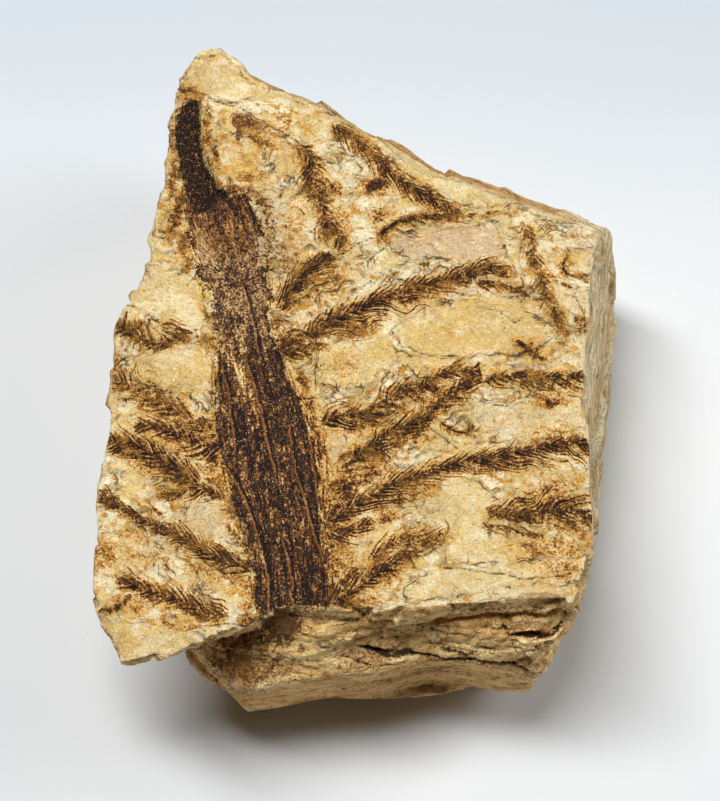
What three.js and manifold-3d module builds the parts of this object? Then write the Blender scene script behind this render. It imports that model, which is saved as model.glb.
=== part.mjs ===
// Fossil conifer branch plate.
//
// A hand-sized block of bedded siltstone, split along one bed. The split face carries the pressed film of
// a conifer branch: a broad fibrous stem, side twigs that rise from it and short curved needles. Film and
// rock formed as one, so the whole block is one body.
//
// Millimetres. The block lies on its back: +Z is up out of the fossil face, +Y runs up the stem.

import * as THREE from 'three';
import { mergeVertices } from 'three/addons/utils/BufferGeometryUtils.js';
import { ImprovedNoise } from 'three/addons/math/ImprovedNoise.js';
import Module from 'manifold-3d';

const wasm = await Module();
wasm.setup();

// ---- driving dimensions ----

// Heights above the face it rests on.
const faceLevel = 62;
const shoulderLevel = 52;
const waistLevel = 38;
const footLevel = 13;

// The beds part at these heights, from the split face down.
const bedJoints = [faceLevel, 56, 50, 44, waistLevel, 26, footLevel, 0];
const jointGap = 0.6;
const jointWaver = 2.6;
const slabLip = 1.5;
const bedStepSize = 3.4;
const undercutDepth = 6;
const spokeSpacing = 9;

// Relief of the split face: the cells it is faceted in, its swells, and how far its edge rolls over.
const faceCell = 6;
const faceJitter = 1.4;
const swells = [{ rise: 0.8, size: 34 }, { rise: 0.45, size: 11 }];
const edgeRoll = 0.5;
const edgeRollWidth = 4;
const rolledCorners = [
  { middle: 115, half: 30, drop: 2.2 },
  { middle: 200, half: 60, drop: 1.6 },
  { middle: 305, half: 22, drop: 2.4 },
];

// Relief of the fossil.
const stemBedDepth = 1;
const stripDepth = 3.2;
const ribCount = 5;
const ribWidth = 3.4;
const ribHeight = 1.1;
const twigHeight = 0.9;
const needleWidth = 1.3;
const needleHeight = 0.55;
const needleSpacing = 12;
const needleLean = THREE.MathUtils.degToRad(38);

// ---- outlines, anticlockwise from the top right corner, seen from above ----

const heart = new THREE.Vector2(0, -5);

// Edge of the split face.
const rim = [
  [62.5, 27.5], [52, 32], [42, 37], [26, 42.5], [15, 46.5], [8, 51.5], [1, 58.5], [-9, 63.5],
  [-18.5, 66.5], [-25, 70.5], [-31.5, 76.5], [-36, 83.5], [-40.5, 87], [-47, 87.5], [-51, 83],
  [-54, 76], [-56, 67], [-56.5, 59], [-56.5, 45], [-59, 35], [-60.5, 27], [-60, 20.5], [-64, 11],
  [-68, 6], [-69.5, 1], [-68.5, -6], [-69.5, -30], [-71, -48], [-71.5, -75], [-69, -83], [-63, -95.5],
  [-57, -94], [-44, -90], [-30, -85], [-25.5, -80.5], [-17.5, -79], [1, -80], [22, -79.5], [39, -78],
  [51.5, -78], [56, -71], [58.5, -58], [58.5, -38], [56.5, -19], [58, -5], [61, 17],
];

// The block swells below its face at the top and right, and is hollowed under the slab at the lower left.
const shoulder = [
  [68, 36], [58, 40], [44, 45.5], [31, 50], [20.5, 54.5], [8.5, 63.5], [-1.5, 68], [-19.5, 78],
  [-35, 87.5], [-44.5, 95], [-52, 90], [-51, 75], [-50, 60], [-51, 42], [-55, 25], [-58, 14],
  [-63, 4], [-63, -10], [-64, -33], [-61, -52], [-53, -68], [-46, -78], [-36, -79.5], [-27, -78.5],
  [-22, -81], [8, -82.5], [34, -82.5], [48.5, -82.5], [55, -73], [60.5, -58], [60, -36], [61.5, -15],
  [64, 12],
];

const waist = [
  [70.4, 36], [58, 41], [31, 50.5], [20, 55], [-1, 69.5], [-19, 78.5], [-35, 87.5], [-44.5, 93.5],
  [-50, 84], [-48, 66], [-49, 45], [-53, 28], [-57, 12], [-61, -8], [-61, -35], [-57, -58],
  [-50, -76], [-44.5, -87], [-35.5, -94], [-12.5, -92], [6.5, -87.5], [27.5, -85.5], [43, -88],
  [49, -80], [57, -66], [62, -52], [62, -39], [65.5, -16], [69.5, 10],
];

const foot = [
  [68, 34], [55, 40], [30, 48], [17, 54], [-2, 66], [-20, 75], [-34, 83], [-42, 87], [-47, 78],
  [-46, 58], [-49, 38], [-52, 20], [-57, -2], [-59, -30], [-55, -55], [-46, -78], [-33, -93],
  [-13.5, -91], [14.5, -89], [43.5, -88], [49.5, -75], [57, -52], [61.5, -28], [65.5, -8], [68, 12],
];

// ---- the fossil on the face ----

// Both edges of the stem, from its broken lower end to where it passes under the flap.
const stemLeft = [[-26, -84], [-29, -72.5], [-34.5, -53], [-38.5, -30.5], [-41, -4], [-45.5, 23], [-49, 41]];
const stemRight = [[-6.5, -82], [-9, -64], [-11, -50], [-16, -25], [-25, -4], [-28.5, 20], [-35, 42]];

// Deep strip where the stem runs in beside the flap.
const strip = [
  [-52.5, 71], [-53.5, 57.5], [-51, 45], [-47.5, 34], [-42.5, 37], [-37, 41], [-42.5, 43], [-45.5, 51],
  [-47, 62], [-47, 71],
];

// Each twig runs outwards from its root: points along it, its width, and the length of its needles.
const twigs = [
  { path: [[-8, 60.5], [3.5, 49.5], [14.5, 41.5], [25.5, 34.5]], width: 3.6, needles: 3.5 },
  { path: [[-17, 53.5], [-13.5, 41.5], [-11, 31], [-6.5, 26]], width: 3, needles: 6.5 },
  { path: [[4, 29], [14.5, 32.5], [25.5, 33.2], [36, 35]], width: 2.4, needles: 4 },
  { path: [[-23.5, -6], [-7.5, 3], [9.5, 11], [25.5, 15.5], [37.5, 17]], width: 3, needles: 6 },
  { path: [[-23.5, 7], [-17.5, 15.5], [-10.5, 19.5]], width: 4, needles: 6 },
  { path: [[-10, -27.5], [-1, -24], [8, -19], [19, -16.5], [29, -13.5]], width: 3, needles: 6 },
  { path: [[32.5, -15.5], [44, -15], [57, -14.5]], width: 2, needles: 4.5 },
  { path: [[-6, -38], [5, -33.5], [13.5, -27.5], [27, -18.5]], width: 3, needles: 6 },
  { path: [[-10, -55], [4.5, -47.5], [24, -39.5], [43, -36], [58.5, -34]], width: 3.4, needles: 6.5 },
  { path: [[-8, -77], [2.5, -70], [11, -65]], width: 4.5, needles: 4 },
  { path: [[33.5, -55], [45, -53.5], [58.5, -55.5]], width: 3, needles: 6.5 },
  { path: [[43.5, 28], [47, 18.5], [50, 8], [52.5, -2]], width: 2.6, needles: 4 },
  { path: [[-43, -6], [-54, -5.5], [-62.5, -3], [-67.5, 0.5]], width: 2.6, needles: 5 },
  { path: [[-42, -31], [-50, -26.5], [-66, -18.5]], width: 2.4, needles: 6.5 },
  { path: [[-39.5, -46.5], [-50.5, -42], [-60, -36.5], [-68, -33.5]], width: 3.4, needles: 5 },
  { path: [[-32.5, -70], [-48.5, -62], [-59, -56], [-70, -50]], width: 2.8, needles: 5 },
  { path: [[-38, -83.5], [-47, -79.5], [-62.5, -73]], width: 3, needles: 4 },
];

// Flakes of the next bed that still stand on the face: each rises from the face towards `lift`.
const flakes = [
  { outline: [[4, 27], [15, 28], [24, 32], [36, 31], [39, 24], [36, 18], [21, 17], [13, 19]], lift: [0, -1] },
  { outline: [[6, -2], [12, 5], [28, 8.5], [42, 5], [52, -2], [45, -8], [22, -9], [9, -8]], lift: [0.5, 1] },
  { outline: [[-14, -6], [-6, -4], [5, -2], [8, -9], [2, -18], [-9, -21], [-16, -17]], lift: [1, -0.6] },
  { outline: [[26, -21], [36, -24], [48, -19], [62, -21], [62, -30], [43, -34], [28, -32]], lift: [-1, 0.4] },
  { outline: [[-59, -9], [-50, -5.5], [-43, -9], [-40, -16], [-45, -23], [-55, -19]], lift: [0, -1] },
  { outline: [[-48, 73], [-40, 71], [-29, 64], [-32, 50], [-34, 42], [-42, 44], [-46, 57]], lift: [-1, -1] },
  { outline: [[-30, 66], [-22, 58], [-13, 52], [2, 44], [20, 40], [26, 48], [0, 66]], lift: [0.3, -1] },
  { outline: [[2, -90], [10, -73], [24, -69], [38, -64], [66, -66], [62, -90]], lift: [-0.2, 1] },
  { outline: [[20, -90], [30, -76], [44, -72], [66, -75], [66, -90]], lift: [-0.3, 1] },
  { outline: [[-78, -62], [-60, -64], [-44, -69], [-33, -77], [-36, -96], [-80, -98]], lift: [0.2, 1] },
];
const flakeRise = 1.1;
const flakeDip = 0.045;

// ---- helpers ----

const perlin = new ImprovedNoise();

// Smooth noise from -1 to 1 whose lumps are about `size` across.
function lumps(x, y, z, size) {
  return perlin.noise(x / size, y / size, z / size);
}

// 1 at angle `middle`, fading to 0 at `half` on either side; both in degrees.
function sector(angle, middle, half) {
  const away = THREE.MathUtils.euclideanModulo(THREE.MathUtils.radToDeg(angle) - middle + 180, 360) - 180;
  return 1 - THREE.MathUtils.smoothstep(Math.abs(away), half * 0.6, half);
}

// Distance from the heart to the outline at an angle.
function reach(outline, angle) {
  const alongX = Math.cos(angle);
  const alongY = Math.sin(angle);
  let farthest = 0;
  outline.forEach(([x, y], index) => {
    const [nextX, nextY] = outline[(index + 1) % outline.length];
    const startX = x - heart.x;
    const startY = y - heart.y;
    const edgeX = nextX - x;
    const edgeY = nextY - y;
    const turn = alongX * edgeY - alongY * edgeX;
    const distance = (startX * edgeY - startY * edgeX) / turn;
    const share = (startX * alongY - startY * alongX) / turn;
    if (distance > 0 && share >= 0 && share <= 1) farthest = Math.max(farthest, distance);
  });
  return farthest;
}

// The height of the split face: gentle swells, rolling over towards its edges.
function faceHeight(x, y) {
  const angle = Math.atan2(y - heart.y, x - heart.x);
  const inside = Math.max(reach(rim, angle) - Math.hypot(x - heart.x, y - heart.y), 0);
  const roll = rolledCorners.reduce(
    (drop, corner) => drop + corner.drop * sector(angle, corner.middle, corner.half),
    edgeRoll,
  );
  const swell = swells.reduce((rise, wave) => rise + wave.rise * lumps(x, y, wave.size, wave.size), 0);
  return faceLevel + swell - roll * Math.exp(-inside / edgeRollWidth);
}

function toSolid(geometry) {
  geometry.deleteAttribute('normal');
  geometry.deleteAttribute('uv');
  const merged = mergeVertices(geometry, 1e-4);
  return new wasm.Manifold(new wasm.Mesh({
    numProp: 3,
    vertProperties: new Float32Array(merged.attributes.position.array),
    triVerts: new Uint32Array(merged.index.array),
  }));
}

function toGeometry(solid) {
  const mesh = solid.getMesh();
  const geometry = new THREE.BufferGeometry();
  geometry.setAttribute('position', new THREE.BufferAttribute(mesh.vertProperties, 3));
  geometry.setIndex(new THREE.BufferAttribute(mesh.triVerts, 1));
  geometry.computeVertexNormals();
  return geometry;
}

// Moves every vertex of a geometry to where `place` sends it.
function reshape(geometry, place) {
  const position = geometry.attributes.position;
  const vertex = new THREE.Vector3();
  for (let i = 0; i < position.count; i++) {
    vertex.fromBufferAttribute(position, i);
    place(vertex);
    position.setXYZ(i, vertex.x, vertex.y, vertex.z);
  }
  return geometry;
}

function curveThrough(points) {
  return new THREE.CatmullRomCurve3(points.map(([x, y]) => new THREE.Vector3(x, y, 0)));
}

// ---- the broken sides ----

// Directions from the heart to points spaced evenly round the rim.
function rimSpokes() {
  return rim.flatMap(([x, y], index) => {
    const start = new THREE.Vector2(x, y);
    const end = new THREE.Vector2(...rim[(index + 1) % rim.length]);
    const steps = Math.ceil(start.distanceTo(end) / spokeSpacing);
    return Array.from({ length: steps }, (_, step) => {
      const point = start.clone().lerp(end, step / steps).sub(heart);
      return Math.atan2(point.y, point.x);
    });
  });
}

// How far the block reaches at a height, before its beds are broken back.
function sideReach(edges, height) {
  const { mapLinear, lerp } = THREE.MathUtils;
  if (height > shoulderLevel) {
    const share = mapLinear(height, faceLevel, shoulderLevel, 0, 1);
    const flared = lerp(edges.rim, edges.shoulder, Math.max(share, 0));
    return height > bedJoints[1] ? Math.max(flared, edges.rim - slabLip) : flared;
  }
  if (height > waistLevel) {
    return lerp(edges.waist, edges.shoulder, mapLinear(height, waistLevel, shoulderLevel, 0, 1));
  }
  if (height > footLevel) {
    return lerp(edges.foot, edges.waist, mapLinear(height, footLevel, waistLevel, 0, 1));
  }
  const uneven = 1 + 0.8 * sector(edges.angle, 270, 70) + 0.7 * aroundLumps(edges.angle, 90, 26);
  return edges.foot - undercutDepth * uneven * Math.pow(1 - height / footLevel, 1.4);
}

// Smooth noise round the block at a level, with lumps about `size` across.
function aroundLumps(angle, level, size) {
  return lumps(Math.cos(angle) * 70, Math.sin(angle) * 90, level, size);
}

// The beds are broken back unevenly: least at the right and top, most at the lower right and the back.
function bedStep(edges, bed) {
  const uneven = 1 + 0.45 * sector(edges.angle, 300, 45) - 0.7 * sector(edges.angle, 30, 75);
  return bedStepSize * uneven * aroundLumps(edges.angle, bed * 17.3, 21);
}

function sideWalls() {
  const spokes = rimSpokes().map((angle) => ({
    angle,
    rim: reach(rim, angle),
    shoulder: reach(shoulder, angle),
    waist: reach(waist, angle),
    foot: reach(foot, angle),
  }));
  const rows = [{ height: faceLevel + 8, bed: 0, joint: 0 }];
  for (let bed = 0; bed < bedJoints.length - 1; bed++) {
    rows.push({ height: bedJoints[bed] - jointGap / 2, bed, joint: bed });
    rows.push({ height: bedJoints[bed + 1] + jointGap / 2, bed, joint: bed + 1 });
  }
  rows[rows.length - 1].height = 0;
  const count = spokes.length;
  const walls = new THREE.CylinderGeometry(1, 1, rows.length - 1, count, rows.length - 1);
  return reshape(walls, (vertex) => {
    const row = rows[Math.round((rows.length - 1) / 2 - vertex.y)];
    const turn = Math.atan2(vertex.x, vertex.z) / (2 * Math.PI);
    const edges = spokes[THREE.MathUtils.euclideanModulo(Math.round(turn * count), count)];
    const inner = row.joint > 0 && row.height > 0;
    const waver = inner ? jointWaver * aroundLumps(edges.angle, row.joint * 31, 34) : 0;
    const step = row.bed > 0 && row.height > 0 ? bedStep(edges, row.bed) : 0;
    const far = Math.hypot(vertex.x, vertex.z) * (sideReach(edges, row.height) + step);
    vertex.x = heart.x + far * Math.cos(edges.angle);
    vertex.y = heart.y + far * Math.sin(edges.angle);
    vertex.z = row.height + waver;
  });
}

// ---- the split face ----

// A block wider than the rock, topped by the face.
function faceBlock() {
  const width = 160;
  const length = 210;
  const columns = Math.round(width / faceCell);
  const rows = Math.round(length / faceCell);
  const block = new THREE.BoxGeometry(width, length, faceLevel, columns, rows, 1);
  return reshape(block, (vertex) => {
    if (vertex.z < 0) return;
    const { x, y } = vertex;
    vertex.x += faceJitter * lumps(x, y, 50, 5.3);
    vertex.y += faceJitter * lumps(x, y, 60, 5.3);
    vertex.z = faceHeight(vertex.x, vertex.y);
  });
}

// A flat plate or cutter of a flake's outline, narrower at one end by `slope`.
function plate(outline, bottom, top, slope) {
  const shape = new THREE.Shape(outline.map(([x, y]) => new THREE.Vector2(x, y)));
  const geometry = new THREE.ExtrudeGeometry(shape, {
    depth: top - bottom - 2 * slope,
    bevelEnabled: true,
    bevelThickness: slope,
    bevelSize: slope,
    bevelOffset: -slope,
    bevelSegments: 1,
  });
  return geometry.translate(0, 0, bottom + slope);
}

// A thin flake of rock whose top slopes up towards `lift` and dips under the face the other way.
function flakePlate({ outline, lift }) {
  const geometry = plate(outline, faceLevel - 4, faceLevel + flakeRise, 0.6);
  const [liftX, liftY] = lift;
  const ends = outline.map(([x, y]) => x * liftX + y * liftY);
  const far = Math.max(...ends);
  return reshape(geometry, (vertex) => {
    if (vertex.z < faceLevel - 1) return;
    vertex.z -= flakeDip * (far - vertex.x * liftX - vertex.y * liftY);
  });
}

// A low ridge that follows the face along a curve, thinning towards its far end.
function ridge(curve, width, height, segmentLength) {
  const segments = Math.max(2, Math.round(curve.getLength() / segmentLength));
  const bar = new THREE.BoxGeometry(1, 1, 1, segments, 1, 1);
  return reshape(bar, (vertex) => {
    const along = vertex.x + 0.5;
    const middle = curve.getPointAt(along);
    const tangent = curve.getTangentAt(along);
    const taper = 1 - 0.65 * along * along;
    const top = vertex.z > 0;
    const across = vertex.y * width * taper * (top ? 0.45 : 1.4);
    const x = middle.x - tangent.y * across;
    const y = middle.y + tangent.x * across;
    const rise = top ? height * taper : -height;
    vertex.set(x, y, faceHeight(middle.x, middle.y) + rise);
  });
}

// Lengthwise ribs share the stem's width; they stop short of its top at different places.
function stemRibs() {
  const left = curveThrough(stemLeft);
  const right = curveThrough(stemRight);
  return Array.from({ length: ribCount }, (_, index) => {
    const share = (index + 0.5) / ribCount;
    const end = 0.8 + 0.4 * share - 0.28 * (index % 2);
    const points = stemLeft.map((_, step) => {
      const along = Math.min((end * step) / (stemLeft.length - 1), 1);
      return left.getPointAt(along).lerp(right.getPointAt(along), share);
    });
    return ridge(new THREE.CatmullRomCurve3(points), ribWidth, ribHeight - stemBedDepth * (1 - share), 12);
  });
}

// Needles lean out of a twig towards its tip, on alternate sides.
function twigNeedles(curve, length) {
  const count = Math.floor(curve.getLength() / needleSpacing);
  return Array.from({ length: count * 2 }, (_, index) => {
    const side = index % 2 ? 1 : -1;
    const along = (index + 0.8) / (count * 2);
    const root = curve.getPointAt(along);
    const tangent = curve.getTangentAt(along);
    const lean = side * needleLean * (1 + 0.3 * lumps(root.x, root.y, 70, 3.1));
    const heading = Math.atan2(tangent.y, tangent.x) + lean;
    const needle = new THREE.ConeGeometry(needleWidth / 2, length, 3, 1);
    needle.translate(0, length / 2, 0);
    needle.scale(1, 1, (2 * needleHeight) / needleWidth);
    needle.rotateZ(heading - Math.PI / 2);
    const x = root.x + 0.5 * length * Math.cos(heading);
    const y = root.y + 0.5 * length * Math.sin(heading);
    return needle.translate(root.x, root.y, faceHeight(x, y));
  });
}

function stemBed() {
  const left = curveThrough(stemLeft).getSpacedPoints(12);
  const right = curveThrough(stemRight).getSpacedPoints(12).reverse();
  return left.concat(right).map((point) => [point.x, point.y]);
}

// ---- cracks and chips ----

// Open cracks along the front: middle, size and turn about the upright.
const cracks = [
  { middle: [17, -82, 56], size: [70, 7, 0.9], turn: 0.01 },
  { middle: [35, -84, 53], size: [1.2, 6, 5.5], turn: 0.35 },
  { middle: [20, -89, 39.5], size: [52, 7, 0.9], turn: 0.03 },
];

// Corners broken off the back and left: a point on each break and the way the break faces.
const chips = [
  { point: [-49, 70, 14], facing: [-0.6, 0.45, -0.65] },
  { point: [64, 34, 12], facing: [0.6, 0.5, -0.6] },
  { point: [-57, -48, 16], facing: [-0.75, -0.15, -0.6] },
  { point: [2, 62, 8], facing: [0.25, 0.7, -0.65] },
];
const chipSize = 90;

function crackCutters() {
  return cracks.map(({ middle, size, turn }) => (
    new THREE.BoxGeometry(...size).rotateZ(turn).translate(...middle)
  ));
}

function chipCutters() {
  return chips.map(({ point, facing }) => {
    const outwards = new THREE.Vector3(...facing).normalize();
    const turn = new THREE.Quaternion().setFromUnitVectors(new THREE.Vector3(0, 0, 1), outwards);
    const cutter = new THREE.BoxGeometry(chipSize, chipSize, chipSize).translate(0, 0, chipSize / 2);
    return cutter.applyQuaternion(turn).translate(...point);
  });
}

// ---- assembly ----

function fossilSlab() {
  const twigCurves = twigs.map((twig) => curveThrough(twig.path));
  const top = faceLevel + 6;
  const pits = [
    plate(stemBed(), faceLevel - stemBedDepth, top, 0.5),
    plate(strip, faceLevel - stripDepth, top, 0.8),
  ];
  const raised = [
    ...flakes.map(flakePlate),
    ...stemRibs(),
    ...twigs.map((twig, index) => ridge(twigCurves[index], twig.width, twigHeight, 8)),
    ...twigs.flatMap((twig, index) => twigNeedles(twigCurves[index], twig.needles)),
  ];
  let slab = toSolid(faceBlock());
  for (const pit of pits) slab = slab.subtract(toSolid(pit));
  for (const piece of raised) slab = slab.add(toSolid(piece));
  slab = slab.intersect(toSolid(sideWalls()));
  for (const cutter of [...crackCutters(), ...chipCutters()]) slab = slab.subtract(toSolid(cutter));
  return slab;
}

const slabGeometry = toGeometry(fossilSlab());
slabGeometry.computeBoundingBox();
const box = slabGeometry.boundingBox;
slabGeometry.translate(-(box.min.x + box.max.x) / 2, -(box.min.y + box.max.y) / 2, -box.min.z);

const slab = new THREE.Mesh(
  slabGeometry,
  new THREE.MeshStandardMaterial({ color: 0xbfa271, roughness: 0.92, metalness: 0 }),
);
slab.name = 'fossil_slab';

const plateGroup = new THREE.Group();
plateGroup.add(slab);

export default plateGroup;
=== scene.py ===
import math
from types import SimpleNamespace

import bmesh
import bpy
import numpy as np
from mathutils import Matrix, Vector, kdtree, noise


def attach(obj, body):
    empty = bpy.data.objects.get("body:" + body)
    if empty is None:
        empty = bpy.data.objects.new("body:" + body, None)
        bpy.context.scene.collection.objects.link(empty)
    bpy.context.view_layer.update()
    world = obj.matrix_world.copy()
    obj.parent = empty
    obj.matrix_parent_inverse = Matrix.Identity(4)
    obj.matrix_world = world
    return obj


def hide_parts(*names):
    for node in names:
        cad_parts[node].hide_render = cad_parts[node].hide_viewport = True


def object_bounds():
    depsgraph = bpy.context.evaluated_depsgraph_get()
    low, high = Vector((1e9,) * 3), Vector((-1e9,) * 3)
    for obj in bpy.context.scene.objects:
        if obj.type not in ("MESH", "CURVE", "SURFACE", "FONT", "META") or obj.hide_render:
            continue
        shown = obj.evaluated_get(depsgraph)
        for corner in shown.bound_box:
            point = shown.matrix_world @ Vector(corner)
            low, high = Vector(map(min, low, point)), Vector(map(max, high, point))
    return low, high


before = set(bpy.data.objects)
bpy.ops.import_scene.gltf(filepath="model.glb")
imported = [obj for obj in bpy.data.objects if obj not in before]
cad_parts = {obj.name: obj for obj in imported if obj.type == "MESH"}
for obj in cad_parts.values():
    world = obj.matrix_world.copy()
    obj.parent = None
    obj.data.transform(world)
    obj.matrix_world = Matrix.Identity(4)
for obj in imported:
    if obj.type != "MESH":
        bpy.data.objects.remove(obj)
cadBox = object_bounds()
print("frame loaded")

# All drawing lists below are in millimetres, seen from above, on the split face.
drawing = {
    "middle": (0.471, -0.072),  # where the drawing's origin lies in the frame
    "baseLevel": 0.25,  # below this the stone is its flat resting face
    "stemHalf": 14.0,  # half the stem's width
}

slab = {
    "voxel": 0.00127,
    "faceFloor": 55.5,  # the split face stays above this height
    "smoothing": 14,
    "stripSmoothing": 16,
    "swellFine": 0.16,
    "swellGrain": 0.07,
    "layerStep": 0.7,
    "layerSize": 21.0,
    "layerCount": 5.5,
    "plateSize": 8.5,  # angular plates the bed parts into
    "plateStep": 0.65,
    "plateLean": 0.11,
    "chipSize": 3.4,
    "chipStep": 0.42,
    "chipLean": 0.16,
    "flakeLip": 0.55,
    "stemStep": 0.5,
    "stripStep": 0.8,
    "twigRise": 0.35,
    "needleRise": 0.26,
    "fibreRise": 0.24,
    "bedLevels": [
        4, 8.5, 13, 17, 20.5, 25, 28, 31.5, 34, 37.2, 40, 42.6, 44.6, 47, 49.8, 52.2, 55.6, 57.4, 59.3,
    ],
    "bedWaver": 1.3,
    "bedOffset": 0.8,
    "bedOpening": 0.6,
    "facetSize": 13.0,
    "chunkSize": 5.0,
    "facetTilt": 0.2,
    "sideBroken": 0.6,
    "sideGrain": 0.24,
    "undercut": 2.8,
}

needles = {
    "spacing": 2.1,
    "curl": 0.06,
    "stray": 0.7,
    "spread": 0.45,  # how much the lean varies along a twig
    "shortest": 0.35,  # a share of the full length
    "chance": (1.7, 3.1, 43.7),  # turns a needle's number and its twig's side to a chance value
}

stemLeft = [
    (-26, -84), (-29, -77), (-29.6, -70), (-31, -64), (-33, -57), (-36, -47), (-38.5, -37), (-40, -27),
    (-40.2, -15), (-40.4, -4), (-42.5, 6), (-45, 16), (-47.5, 25), (-50, 34), (-50, 42),
]
stemRight = [
    (-10.6, -82), (-11.4, -70), (-12, -62), (-12.4, -55), (-13, -46), (-13.8, -39), (-15.2, -31),
    (-18.4, -22), (-21.8, -14), (-24.8, -5), (-26.5, 5), (-27, 14), (-27.4, 24), (-28.6, 34), (-33, 42),
]
strip = [
    (-48.8, 71.4), (-51.5, 70), (-53.6, 66.3), (-53.8, 59), (-52.6, 53), (-51.6, 46.7), (-50.2, 41),
    (-47.3, 33.9), (-43.3, 37.2), (-39.7, 39.1), (-37.3, 41.1), (-41.6, 42.2), (-43.6, 46.7), (-45, 51.4),
    (-46.4, 56), (-46.8, 63), (-47.2, 70.4),
]
flap = [
    (-45.5, 69), (-40.5, 68.5), (-34, 66), (-27, 61), (-20, 56), (-18, 50), (-22, 44), (-27, 43),
    (-33, 43), (-38.4, 41.3), (-42.4, 43.5), (-44.4, 49.5), (-46.2, 57.5),
]

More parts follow.
